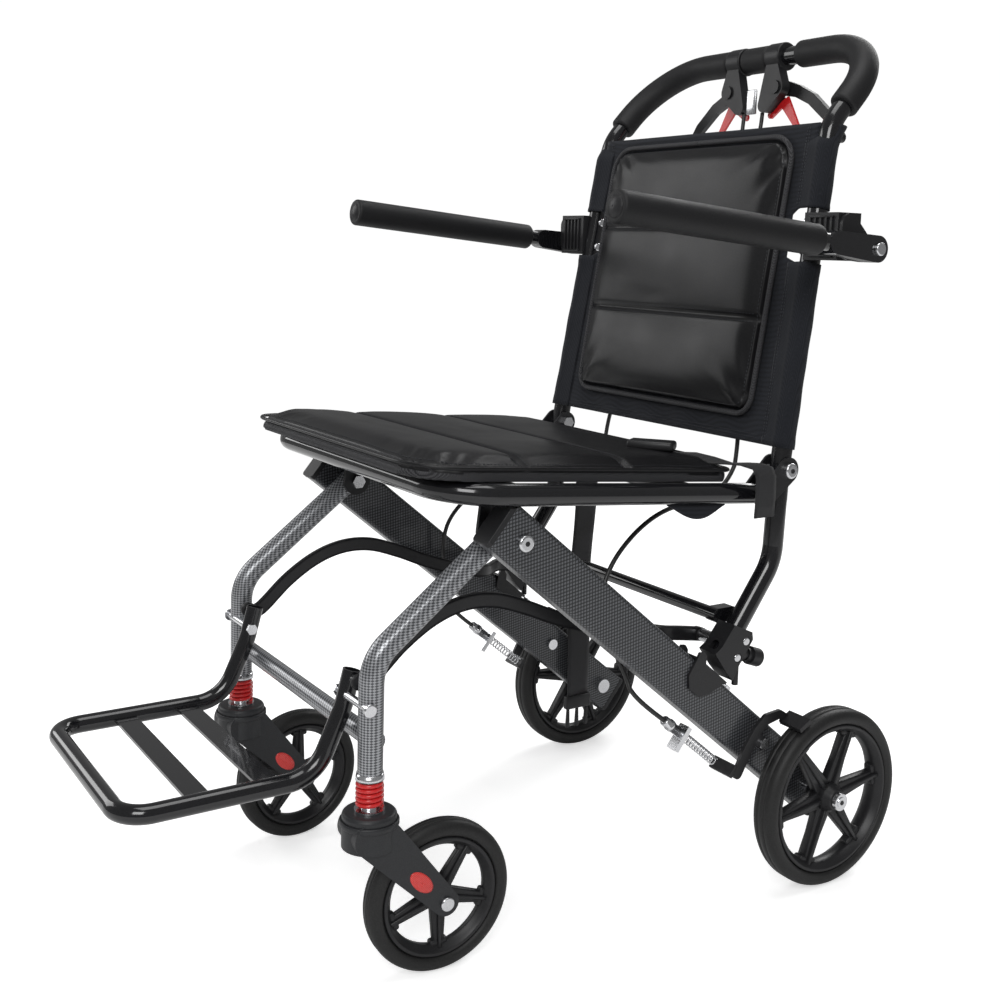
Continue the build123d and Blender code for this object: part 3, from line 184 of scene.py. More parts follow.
class Effects:
    """Shader node groups used by more than one finish. Each is made once."""

    def __init__(self) -> None:
        """Start with no group made."""
        self.made: dict[str, bpy.types.NodeTree] = {}

    def _open(self, name: str, inputs: dict[str, Union[float, None]]) -> tuple[Graph, bpy.types.Node]:
        """Start a group with a Vector input, number inputs and the outputs Mask and Height."""
        tree = bpy.data.node_groups.new(name, "ShaderNodeTree")
        tree.interface.new_socket("Vector", in_out="INPUT", socket_type="NodeSocketVector")
        for key, default in inputs.items():
            tree.interface.new_socket(key, in_out="INPUT", socket_type="NodeSocketFloat").default_value = default
        for key in ("Mask", "Height"):
            tree.interface.new_socket(key, in_out="OUTPUT", socket_type="NodeSocketFloat")
        self.made[name] = tree
        graph = Graph(tree)
        return graph, graph.node("NodeGroupInput", {})

    @staticmethod
    def _close(graph: Graph, mask: Value, height: Value) -> None:
        """End a group with its two results."""
        graph.node("NodeGroupOutput", {"Mask": mask, "Height": height})

    def grain(self) -> bpy.types.NodeTree:
        """Leather and moulded grain: small cells broken by noise."""
        if "grain" in self.made:
            return self.made["grain"]
        graph, given = self._open("grain", {"Scale": 500.0, "Soft": 0.5})
        bent = graph.noise(given.outputs[0], graph.math("MULTIPLY", given.outputs[1], 0.6), 2.0)
        cells = graph.node("ShaderNodeTexVoronoi", {"Vector": given.outputs[0], "Scale": given.outputs[1]},
                           feature="SMOOTH_F1")
        fine = graph.noise(given.outputs[0], graph.math("MULTIPLY", given.outputs[1], 2.3), 3.0)
        mixed = graph.math("ADD", graph.math("MULTIPLY", cells.outputs[0], 0.7), graph.math("MULTIPLY", fine, 0.5))
        height = graph.math("MULTIPLY", mixed, given.outputs[2])
        self._close(graph, graph.remap(bent, 0.35, 0.7), height)
        return self.made["grain"]

    def dots(self) -> bpy.types.NodeTree:
        """Offset rows of small round dots on a flat X-Y pattern."""
        if "dots" in self.made:
            return self.made["dots"]
        graph, given = self._open("dots", {"Pitch X": 0.0046, "Pitch Y": 0.0052, "Size": 0.2})
        parts = graph.split(given.outputs[0])
        cell = graph.join(graph.math("DIVIDE", parts[0], given.outputs[1]),
                          graph.math("DIVIDE", parts[1], given.outputs[2]))
        near = []
        for shift in (0.0, 0.5):
            part = graph.vector("FRACTION", graph.vector("ADD", cell, (shift, shift, 0.5)).outputs[0])
            near.append(graph.vector("DISTANCE", part.outputs[0], (0.5, 0.5, 0.5)).outputs["Value"])
        nearest = graph.math("MINIMUM", near[0], near[1])
        rim = graph.math("ADD", given.outputs[3], 0.1)
        soft = graph.node("ShaderNodeMapRange", {0: nearest, 1: given.outputs[3], 2: rim, 3: 1.0, 4: 0.0})
        self._close(graph, soft.outputs[0], soft.outputs[0])
        return self.made["dots"]

    def twill(self) -> bpy.types.NodeTree:
        """Crossed diagonal tows of a woven carbon cloth."""
        if "twill" in self.made:
            return self.made["twill"]
        graph, given = self._open("twill", {"Pitch": 0.004, "Sharp": 0.2})
        waves = []
        for direction in ((0.6, 0.5, 1.0), (-0.6, -0.5, 1.0)):
            along = graph.vector("DOT_PRODUCT", given.outputs[0], direction).outputs["Value"]
            turn = graph.math("MULTIPLY", graph.math("DIVIDE", along, given.outputs[1]), 2 * math.pi)
            waves.append(graph.math("SINE", turn))
        product = graph.math("MULTIPLY", waves[0], waves[1])
        mask = graph.node("ShaderNodeMapRange", {0: product, 1: graph.math("MULTIPLY", given.outputs[2], -1.0),
                                                 2: given.outputs[2], 3: 0.0, 4: 1.0})
        self._close(graph, mask.outputs[0], graph.math("ABSOLUTE", product))
        return self.made["twill"]

    def weave(self) -> bpy.types.NodeTree:
        """Over and under threads of a plain cloth, in the pattern's X-Y plane."""
        if "weave" in self.made:
            return self.made["weave"]
        graph, given = self._open("weave", {"Pitch X": 0.0008, "Pitch Y": 0.0008})
        parts = graph.split(given.outputs[0])
        waves = []
        for part, pitch in ((parts[0], given.outputs[1]), (parts[1], given.outputs[2])):
            turn = graph.math("MULTIPLY", graph.math("DIVIDE", part, pitch), math.pi)
            waves.append(graph.math("ABSOLUTE", graph.math("SINE", turn)))
        height = graph.math("MAXIMUM", waves[0], waves[1])
        self._close(graph, graph.math("MULTIPLY", waves[0], waves[1]), height)
        return self.made["weave"]

    def wear(self) -> bpy.types.NodeTree:
        """Wide uneven patches and fine dust specks, for handled and dusty surfaces."""
        if "wear" in self.made:
            return self.made["wear"]
        graph, given = self._open("wear", {"Patch": 9.0, "Speck": 900.0})
        patch = graph.noise(given.outputs[0], given.outputs[1], 5.0, 0.6)
        speck = graph.noise(given.outputs[0], given.outputs[2], 1.0)
        self._close(graph, graph.remap(speck, 0.70, 0.78), graph.remap(patch, 0.3, 0.7))
        return self.made["wear"]


EFFECTS = Effects()


class Pattern(Enum):
    """What a finish's surface is made of."""

    GRAIN = "grain"
    DOTS = "dots"
    TWILL = "twill"
    WEAVE = "weave"
    RIBS = "ribs"


@dataclass(frozen=True)
class Finish:
    """One surface finish and the node material that shows it."""

    name: str
    slot: str
    colour: tuple[float, float, float]
    accent: tuple[float, float, float]
    roughness: float
    pattern: Pattern = Pattern.GRAIN
    pitch: float = 0.002
    bump: float = 0.1
    depth: float = 0.0003
    metallic: float = 0.0
    coat: float = 0.0
    sheen: float = 0.0
    dust: float = 0.1
    turn: tuple[float, float, float] = (0.0, 0.0, 0.0)
    by_uv: bool = False
    specular: float = 0.4

    def _pattern(self, graph: Graph, place: bpy.types.NodeSocket) -> bpy.types.Node:
        """Place the finish's own pattern group."""
        group = getattr(EFFECTS, "weave" if self.pattern is Pattern.RIBS else self.pattern.value)()
        made = graph.node("ShaderNodeGroup", {}, node_tree=group)
        graph.put(made.inputs[0], place)
        if self.pattern is Pattern.GRAIN:
            made.inputs[1].default_value = 1.0 / self.pitch
        elif self.pattern is Pattern.DOTS:
            made.inputs[1].default_value = self.pitch
            made.inputs[2].default_value = self.pitch * 1.15
        elif self.pattern is Pattern.TWILL:
            made.inputs[1].default_value = self.pitch
        elif self.pattern is Pattern.WEAVE:
            made.inputs[1].default_value = self.pitch
            made.inputs[2].default_value = self.pitch
        else:
            made.inputs[1].default_value = self.pitch * 3.0
            made.inputs[2].default_value = self.pitch
        return made

    def material(self) -> bpy.types.Material:
        """The finish as a material, made at the first call."""
        found = bpy.data.materials.get(self.name)
        if found:
            return found
        made = bpy.data.materials.new(self.name)
        made.use_nodes = True
        made.diffuse_color = (*self.colour, 1.0)
        graph = Graph(made.node_tree)
        shader = made.node_tree.nodes["Principled BSDF"]
        source = graph.node("ShaderNodeTexCoord", {}).outputs["UV" if self.by_uv else "Object"]
        place = graph.node("ShaderNodeMapping", {0: source, 2: self.turn}).outputs[0]
        if self.pattern is Pattern.DOTS:
            parts = graph.split(place)
            place = graph.join(parts[1], graph.math("ADD", parts[2], parts[0]))
        pattern = self._pattern(graph, place)
        wear = graph.node("ShaderNodeGroup", {0: source}, node_tree=EFFECTS.wear())
        base = graph.blend(pattern.outputs[0], (*self.colour, 1.0), (*self.accent, 1.0))
        paler = tuple(min(1.0, 0.8 * part + 0.10) for part in self.accent)
        dusty = graph.math("MULTIPLY", wear.outputs[0], self.dust)
        graph.put(shader.inputs["Base Color"], graph.blend(dusty, base, (*paler, 1.0)))
        rough = graph.math("MULTIPLY_ADD", wear.outputs[1], 0.12, self.roughness - 0.06)
        graph.put(shader.inputs["Roughness"], graph.math("ADD", rough, graph.math("MULTIPLY", dusty, 0.3)))
        bump = graph.node("ShaderNodeBump", {"Strength": self.bump, "Distance": self.depth,
                                             "Height": pattern.outputs[1]})
        graph.put(shader.inputs["Normal"], bump.outputs[0])
        shader.inputs["Metallic"].default_value = self.metallic
        shader.inputs["Specular IOR Level"].default_value = self.specular
        shader.inputs["Coat Weight"].default_value = self.coat
        shader.inputs["Coat Roughness"].default_value = 0.06
        shader.inputs["Sheen Weight"].default_value = self.sheen
        return made


BLACK = (0.006, 0.006, 0.007)
GLOSS_BLACK = Finish("gloss_black_paint", "frame_black", BLACK, (0.010, 0.010, 0.012), 0.16, pitch=0.0009,
                     bump=0.06, depth=0.0001, coat=0.6, dust=0.05)
SATIN_BLACK = Finish("satin_black_steel", "frame_black", (0.012, 0.012, 0.013), (0.018, 0.018, 0.02), 0.34,
                     pitch=0.0007, bump=0.15, depth=0.0001, dust=0.08)
LEATHER = Finish("black_leatherette", "leatherette", (0.007, 0.007, 0.008), (0.011, 0.011, 0.012), 0.37,
                 pitch=0.0011, bump=0.45, depth=0.00025, dust=0.03, specular=0.33)
MESH_BAND = Finish("speckled_mesh_band", "leatherette", (0.010, 0.010, 0.012), (0.07, 0.07, 0.075), 0.7,
                   pattern=Pattern.DOTS, pitch=0.0022, bump=0.6, depth=0.0004, dust=0.1)
CLOTH = Finish("navy_charcoal_cloth", "cover_fabric", (0.011, 0.012, 0.015), (0.026, 0.028, 0.035), 0.9,
               pattern=Pattern.WEAVE, pitch=0.0009, bump=0.5, depth=0.0003, sheen=0.06, dust=0.3, specular=0.2)
THREAD = Finish("dark_thread", "cover_fabric", (0.03, 0.032, 0.038), (0.06, 0.062, 0.07), 0.7,
                pattern=Pattern.WEAVE, pitch=0.0005, bump=0.4)
FOAM = Finish("black_foam", "foam", (0.009, 0.009, 0.010), (0.015, 0.015, 0.016), 0.55, pitch=0.0006, bump=0.5,
              depth=0.0003, dust=0.04, specular=0.35)
CARBON = Finish("dotted_carbon_print", "carbon_print", (0.016, 0.017, 0.019), (0.115, 0.12, 0.13), 0.36,
                pattern=Pattern.DOTS, pitch=0.0046, bump=0.15, depth=0.0002, coat=0.25, dust=0.03,
                turn=(BEAM_ANGLE, 0.0, 0.0))
SILVER = Finish("silver_carbon_print", "silver_carbon", (0.085, 0.088, 0.095), (0.40, 0.41, 0.43), 0.3,
                pattern=Pattern.TWILL, pitch=0.0052, bump=0.12, depth=0.0002, metallic=0.35, coat=0.4, dust=0.02)
ZINC = Finish("bright_zinc", "zinc", (0.72, 0.73, 0.75), (0.80, 0.80, 0.82), 0.2, pitch=0.0008, bump=0.1,
              depth=0.0001, metallic=1.0, dust=0.04)
PLASTIC = Finish("black_moulded_plastic", "black_plastic", (0.012, 0.012, 0.013), (0.018, 0.018, 0.02), 0.4,
                 pitch=0.0005, bump=0.25, depth=0.0001, dust=0.08)
RED = Finish("red_lock_plastic", "red_plastic", (0.72, 0.015, 0.02), (0.80, 0.03, 0.03), 0.28, pitch=0.0008,
             bump=0.12, depth=0.0001, coat=0.2, dust=0.02)
RED_OVAL = Finish("red_reflector", "red_plastic", (0.62, 0.012, 0.015), (0.95, 0.12, 0.10), 0.25,
                  pattern=Pattern.DOTS, pitch=0.0016, bump=0.5, depth=0.0003, coat=0.4, dust=0.02)
RED_COIL = Finish("red_spring_paint", "spring_red", (0.62, 0.012, 0.015), (0.75, 0.03, 0.03), 0.25, pitch=0.0009,
                  bump=0.1, depth=0.0001, coat=0.5, dust=0.03)
FORK = Finish("charcoal_fork_plastic", "fork_plastic", (0.020, 0.021, 0.023), (0.030, 0.031, 0.034), 0.42,
              pitch=0.0006, bump=0.3, depth=0.0001, dust=0.1)
RIM = Finish("black_rim_plastic", "rim_plastic", (0.014, 0.014, 0.015), (0.021, 0.021, 0.023), 0.38, pitch=0.0007,
             bump=0.2, depth=0.0001, dust=0.08)
RUBBER = Finish("tyre_rubber", "tyre", (0.011, 0.011, 0.011), (0.019, 0.019, 0.019), 0.5, pitch=0.0009, bump=0.35,
                depth=0.0002, dust=0.12)
WEBBING = Finish("ribbed_webbing", "webbing", (0.011, 0.011, 0.012), (0.028, 0.028, 0.031), 0.7,
                 pattern=Pattern.RIBS, pitch=0.0016, bump=0.8, depth=0.0005, sheen=0.1, dust=0.08)
SHEATH = Finish("cable_sheath", "cable_sheath", (0.008, 0.008, 0.009), (0.014, 0.014, 0.015), 0.35, pitch=0.0008,
                bump=0.1)

CAD_FINISHES: dict[str, Finish] = {
    "seat_tube": GLOSS_BLACK, "back_tubes": GLOSS_BLACK, "handle_bar": GLOSS_BLACK, "seat_cross_bars": GLOSS_BLACK,
    "seat_brackets": SATIN_BLACK, "footrest_tube": GLOSS_BLACK, "footrest_slats": GLOSS_BLACK,
    "rear_crossbar": GLOSS_BLACK, "links": SATIN_BLACK, "latch_brackets": SATIN_BLACK, "latch_saddles": SATIN_BLACK,
    "armrest_tube_left": GLOSS_BLACK, "armrest_tube_right": GLOSS_BLACK, "brake_arm_left": SATIN_BLACK,
    "brake_arm_right": SATIN_BLACK, "seat_bolts": ZINC, "back_bolts": ZINC, "beam_bolts": ZINC,
    "footrest_bolts": ZINC, "caster_axle_left": ZINC, "caster_axle_right": ZINC, "caster_stem_left": ZINC,
    "caster_stem_right": ZINC, "stem_collars": ZINC, "cable_stops": ZINC, "brake_springs": ZINC,
    "latch_plunger_left": PLASTIC, "latch_plunger_right": PLASTIC, "armrest_brackets": PLASTIC,
    "brake_clamps": PLASTIC, "brake_lever_left": PLASTIC, "brake_lever_right": PLASTIC, "beam_caps": PLASTIC,
    "brake_lock_left": RED, "brake_lock_right": RED, "side_beams": CARBON, "front_legs": SILVER,
    "front_cross_tube": SILVER, "caster_fork_left": FORK, "caster_fork_right": FORK, "caster_springs": RED_COIL,
}


# ------------------------------------------------------------------------------------------ mesh helpers
def make_object(name: str, bm: bmesh.types.BMesh, *finishes: Finish, smooth: bool = True) -> bpy.types.Object:
    """Turn a bmesh into an object at the origin.

    Args:
        name: the piece's name.
        bm: its shape, freed here.
        finishes: its materials in slot order.
        smooth: whether faces are shaded smooth.
    Returns:
        The linked object.
    """
    mesh = bpy.data.meshes.new(name)
    bmesh.ops.recalc_face_normals(bm, faces=bm.faces[:])
    for face in bm.faces:
        face.smooth = smooth
    bm.to_mesh(mesh)
    bm.free()
    piece = bpy.data.objects.new(name, mesh)
    bpy.context.scene.collection.objects.link(piece)
    for finish in finishes:
        mesh.materials.append(finish.material())
    return piece


def hand_over(piece: bpy.types.Object, body: str, finish: Finish, *nodes: str) -> bpy.types.Object:
    """Let a piece move with its body and stand for the nodes it replaces."""
    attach(piece, body)
    if nodes:
        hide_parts(*nodes)
    LOG.info("made %s on %s", piece.name, body)
    return piece


def modifier(piece: bpy.types.Object, kind: str, **settings: object) -> bpy.types.Modifier:
    """Add a modifier with its settings."""
    made = piece.modifiers.new(kind.lower(), kind)
    for key, setting in settings.items():
        setattr(made, key, setting)
    return made


def subdivided(piece: bpy.types.Object, levels: int) -> bpy.types.Object:
    """Add one subdivision surface with equal levels in view and render."""
    modifier(piece, "SUBSURF", levels=levels, render_levels=levels)
    return piece


def rounded(corners: Sequence[Vector], radii: Sequence[float], steps: int = 8) -> list[Vector]:
    """Points along straight runs joined by arcs, one arc at each inner corner."""
    points = [corners[0].copy()]
    for before, here, after, radius in zip(corners, corners[1:], corners[2:], radii):
        back = (before - here).normalized()
        ahead = (after - here).normalized()
        half = back.angle(ahead) / 2.0
        reach = radius / math.tan(half)
        centre = here + (back + ahead).normalized() * (radius / math.sin(half))
        start = here + back * reach - centre
        end = here + ahead * reach - centre
        turn = start.rotation_difference(end)
        axis, angle = turn.to_axis_angle()
        for k in range(steps + 1):
            points.append(centre + Matrix.Rotation(angle * k / steps, 3, axis) @ start)
    points.append(corners[-1].copy())
    return points


def frames_along(points: Sequence[Vector]) -> list[Matrix]:
    """A turning frame at each point of a path, its Z along the path and no twist."""
    frames = []
    across = None
    for k, point in enumerate(points):
        ahead = (points[min(k + 1, len(points) - 1)] - points[max(k - 1, 0)]).normalized()
        if across is None:
            across = ahead.orthogonal().normalized()
        across = (across - ahead * across.dot(ahead)).normalized()
        side = ahead.cross(across)
        turned = Matrix((across, side, ahead)).transposed().to_4x4()
        frames.append(Matrix.Translation(point) @ turned)
    return frames


def swept_bar(points: Sequence[Vector], radii: Sequence[float], segments: int = 28) -> bmesh.types.BMesh:
    """A round bar through points, with its own radius at each and closed ends."""
    bm = bmesh.new()
    places = [place @ Matrix.Diagonal((r, r, 1.0, 1.0)) for place, r in zip(frames_along(points), radii)]
    bmesh.ops.create_circle(bm, segments=segments, radius=1.0, matrix=places[0])
    ring = bm.edges[:]
    bmesh.ops.contextual_create(bm, geom=ring)
    for before, here in zip(places, places[1:]):
        grown = bmesh.ops.extrude_edge_only(bm, edges=ring)["geom"]
        verts = [part for part in grown if isinstance(part, bmesh.types.BMVert)]
        ring = [part for part in grown if isinstance(part, bmesh.types.BMEdge)]
        bmesh.ops.transform(bm, matrix=here @ before.inverted(), verts=verts)
    bmesh.ops.contextual_create(bm, geom=ring)
    return bm


def resampled(points: Sequence[Vector], pitch: float) -> list[Vector]:
    """Evenly spaced points along a path."""
    lengths = [0.0]
    for before, here in zip(points, points[1:]):
        lengths.append(lengths[-1] + (here - before).length)
    count = max(2, round(lengths[-1] / pitch))
    spaced = []
    leg = 0
    for k in range(count + 1):
        target = lengths[-1] * k / count
        while leg < len(points) - 2 and lengths[leg + 1] < target:
            leg += 1
        span = max(lengths[leg + 1] - lengths[leg], 1e-9)
        spaced.append(points[leg].lerp(points[leg + 1], (target - lengths[leg]) / span))
    return spaced


def sleeve_stations(points: Sequence[Vector], radius: float, edge: float) -> tuple[list[Vector], list[float]]:
    """Stations of a soft sleeve whose two ends are rounded over by edge."""
    spaced = resampled(points, 0.006)
    first = (spaced[1] - spaced[0]).normalized()
    last = (spaced[-1] - spaced[-2]).normalized()
    arc = [math.pi / 2 * k / 5 for k in range(6)]
    places = [spaced[0] + first * edge * (1 - math.cos(angle)) for angle in arc]
    radii = [radius - edge + edge * math.sin(angle) for angle in arc]
    middle = [p for p in spaced if (p - spaced[0]).length > edge * 1.5 and (p - spaced[-1]).length > edge * 1.5]
    places += middle
    radii += [radius] * len(middle)
    for angle in reversed(arc):
        places.append(spaced[-1] - last * edge * (1 - math.cos(angle)))
        radii.append(radius - edge + edge * math.sin(angle))
    return places, radii


def lathe(bm: bmesh.types.BMesh, profile: Sequence[tuple[float, float]], steps: int) -> None:
    """Add a closed ring turned about X from a closed (x, radius) profile."""
    verts = [bm.verts.new((x, 0.0, radius)) for x, radius in profile]
    edges = [bm.edges.new((verts[k - 1], verts[k])) for k in range(len(verts))]
    bmesh.ops.spin(bm, geom=verts + edges, cent=(0, 0, 0), axis=(1, 0, 0), dvec=(0, 0, 0),
                   angle=2 * math.pi, steps=steps, use_merge=True)


def bevelled_block(bm: bmesh.types.BMesh, size: Sequence[float], place: Matrix, edge: float,
                   taper: float = 1.0) -> None:
    """Add a block with rounded edges, its far Z end narrowed along Y by taper."""
    made = bmesh.ops.create_cube(bm, size=1.0, matrix=Matrix.Diagonal((*size, 1.0)))["verts"]
    for vert in made:
        if vert.co.z > 0:
            vert.co.y *= taper
    edges = list({link for vert in made for link in vert.link_edges})
    rounded_off = bmesh.ops.bevel(bm, geom=edges, offset=edge, segments=2, profile=0.5, affect="EDGES",
                                  material=-1)["verts"]
    bmesh.ops.transform(bm, matrix=place, verts=list(set(rounded_off)))


def ribbon(points: Sequence[Vector], across: Sequence[Vector], width: float, thickness: float) \
        -> bmesh.types.BMesh:
    """A flat strap through points, its width lying along the given directions."""
    bm = bmesh.new()
    cells = 6
    row = [bm.verts.new(points[0] + across[0] * width * (k / cells - 0.5)) for k in range(cells + 1)]
    edges = [bm.edges.new(pair) for pair in zip(row, row[1:])]
    uv = bm.loops.layers.uv.new("UVMap")
    travelled = 0.0
    for k in range(1, len(points)):
        grown = bmesh.ops.extrude_edge_only(bm, edges=edges)["geom"]
        verts = [part for part in grown if isinstance(part, bmesh.types.BMVert)]
        faces = [part for part in grown if isinstance(part, bmesh.types.BMFace)]
        edges = [part for part in grown if isinstance(part, bmesh.types.BMEdge)]
        step = (points[k] - points[k - 1]).length
        for vert in verts:
            offset = (vert.co - points[k - 1]).dot(across[k - 1])
            vert.co = points[k] + across[k] * offset
        fresh = set(verts)
        for face in faces:
            for loop in face.loops:
                centre = points[k] if loop.vert in fresh else points[k - 1]
                way = across[k] if loop.vert in fresh else across[k - 1]
                along = travelled + (step if loop.vert in fresh else 0.0)
                loop[uv].uv = ((loop.vert.co - centre).dot(way), along)
        travelled += step
    bmesh.ops.recalc_face_normals(bm, faces=bm.faces[:])
    bmesh.ops.solidify(bm, geom=bm.faces[:], thickness=thickness)
    return bm


def cord_mesh(name: str, points: Sequence[Vector], radius: float) -> bpy.types.Object:
    """A smooth round cable through points, as a mesh."""
    curve = bpy.data.curves.new(name, "CURVE")
    curve.dimensions = "3D"
    curve.bevel_depth = radius
    curve.bevel_resolution = 4
    curve.use_fill_caps = True
    curve.resolution_u = 12
    spline = curve.splines.new("NURBS")
    spline.points.add(len(points) - 1)
    for spot, point in zip(spline.points, points):
        spot.co = (*point, 1.0)
    spline.order_u = 3
    spline.use_endpoint_u = True
    holder = bpy.data.objects.new(name + "_route", curve)
    mesh = bpy.data.meshes.new_from_object(holder)
    mesh.name = name
    bpy.data.objects.remove(holder)
    piece = bpy.data.objects.new(name, mesh)
    bpy.context.scene.collection.objects.link(piece)
    mesh.materials.append(SHEATH.material())
    for polygon in mesh.polygons:
        polygon.use_smooth = True
    return piece


def stitch_row(bm: bmesh.types.BMesh, points: Sequence[Vector], pitch: float = 0.0042) -> None:
    """Add a row of short sewn stitches along a path."""
    spaced = resampled(points, pitch)
    for before, after in zip(spaced, spaced[1:]):
        ahead = after - before
        turn = ahead.to_track_quat("X", "Z").to_matrix().to_4x4()
        place = Matrix.Translation((before + after) / 2) @ turn @ Matrix.Diagonal((pitch * 0.36, 0.0005, 0.0004, 1.0))
        bmesh.ops.create_icosphere(bm, subdivisions=1, radius=1.0, matrix=place)


def mesh_copy(piece: bpy.types.Object) -> bpy.types.Mesh:
    """The piece's mesh with its modifiers in effect."""
    graph = bpy.context.evaluated_depsgraph_get()
    return bpy.data.meshes.new_from_object(piece.evaluated_get(graph))


def settle(piece: bpy.types.Object) -> None:
    """Make the modifiers' result the piece's own mesh."""
    result = mesh_copy(piece)
    piece.modifiers.clear()
    piece.data = result


def inflate(piece: bpy.types.Object, cap: Callable[[Vector], float], pressure: float = 4.0) -> None:
    """Swell a slab as sewn fabric over foam does, by cloth simulation.

    Args:
        piece: the slab, in its own flat frame with its base at Z = 0.
        cap: how far a point may move, from its place.
        pressure: the cloth's inner pressure.
    """
    modifier(piece, "REMESH", mode="VOXEL", voxel_size=0.005)
    settle(piece)
    rest = [vert.co.copy() for vert in piece.data.vertices]
    held = piece.vertex_groups.new(name="base")
    held.add([k for k, spot in enumerate(rest) if spot.z < 0.002], 1.0, "REPLACE")
    cloth = modifier(piece, "CLOTH")
    cloth.settings.vertex_group_mass = "base"
    cloth.settings.quality = 4
    cloth.settings.use_pressure = True
    cloth.settings.uniform_pressure_force = pressure
    cloth.settings.effector_weights.gravity = 0.0
    cloth.collision_settings.use_collision = False
    cloth.point_cache.frame_start = 1
    cloth.point_cache.frame_end = 20
    for step in range(1, 21):
        bpy.context.scene.frame_set(step)
    settle(piece)
    bpy.context.scene.frame_set(1)
    for vert, start in zip(piece.data.vertices, rest):
        move = vert.co - start
        allowed = cap(start)
        if move.length > allowed:
            vert.co = start + move.normalized() * allowed
    modifier(piece, "SUBSURF", levels=1, render_levels=1)
    settle(piece)


# ------------------------------------------------------------------------------------------ soft goods
def slab(half_x: float, half_y: float, thickness: float, corners: tuple[float, float]) -> bmesh.types.BMesh:
    """A flat block standing on Z = 0, its front and rear upright edges rounded by their own radii."""
    bm = bmesh.new()
    size = Matrix.Translation((0, 0, thickness / 2)) @ Matrix.Diagonal((2 * half_x, 2 * half_y, thickness, 1))
    bmesh.ops.create_cube(bm, size=1.0, matrix=size)
    for sign, radius in zip((-1.0, 1.0), corners):
        upright = [e for e in bm.edges if abs(e.verts[0].co.z - e.verts[1].co.z) > thickness / 2
                   and all(sign * v.co.y > half_y - 0.001 for v in e.verts)]
        bmesh.ops.bevel(bm, geom=upright, offset=radius, segments=10, profile=0.5, affect="EDGES", material=-1)
    return bm


def channel(piece: bpy.types.Object, seams: Sequence[float], depth: float, width: float, floor: float) -> None:
    """Press sewn channels across a pad at the given Y places, above a height."""
    for vert in piece.data.vertices:
        if vert.co.z > floor:
            pull = sum(math.exp(-((vert.co.y - seam) / width) ** 2) for seam in seams)
            vert.co.z -= depth * min(pull, 1.0)


def crown(piece: bpy.types.Object, half_x: float, half_y: float, edges: Sequence[float], rise: float,
          floor: float) -> None:
    """Raise each panel between its seams into a low dome."""
    for vert in piece.data.vertices:
        if vert.co.z <= floor:
            continue
        for low, high in zip(edges, edges[1:]):
            if low <= vert.co.y < high:
                across = min(1.0, abs(vert.co.x) / half_x)
                along = abs((vert.co.y - (low + high) / 2) / ((high - low) / 2))
                vert.co.z += rise * (1 - across ** 4) * (1 - along ** 2.5)


def wrinkle(piece: bpy.types.Object, places: Iterable[tuple[Vector, Vector, float, float]], floor: float) -> None:
    """Press soft creases into a pad, each a start, an end, a depth and a width."""
    for start, end, depth, width in places:
        run = end - start
        for vert in piece.data.vertices:
            if vert.co.z <= floor:
                continue
            offset = Vector((vert.co.x - start.x, vert.co.y - start.y, 0.0))
            t = max(0.0, min(1.0, offset.dot(run) / run.length_squared))
            gap = (offset - run * t).length
            vert.co.z -= depth * math.sin(math.pi * t) * math.exp(-(gap / width) ** 2)


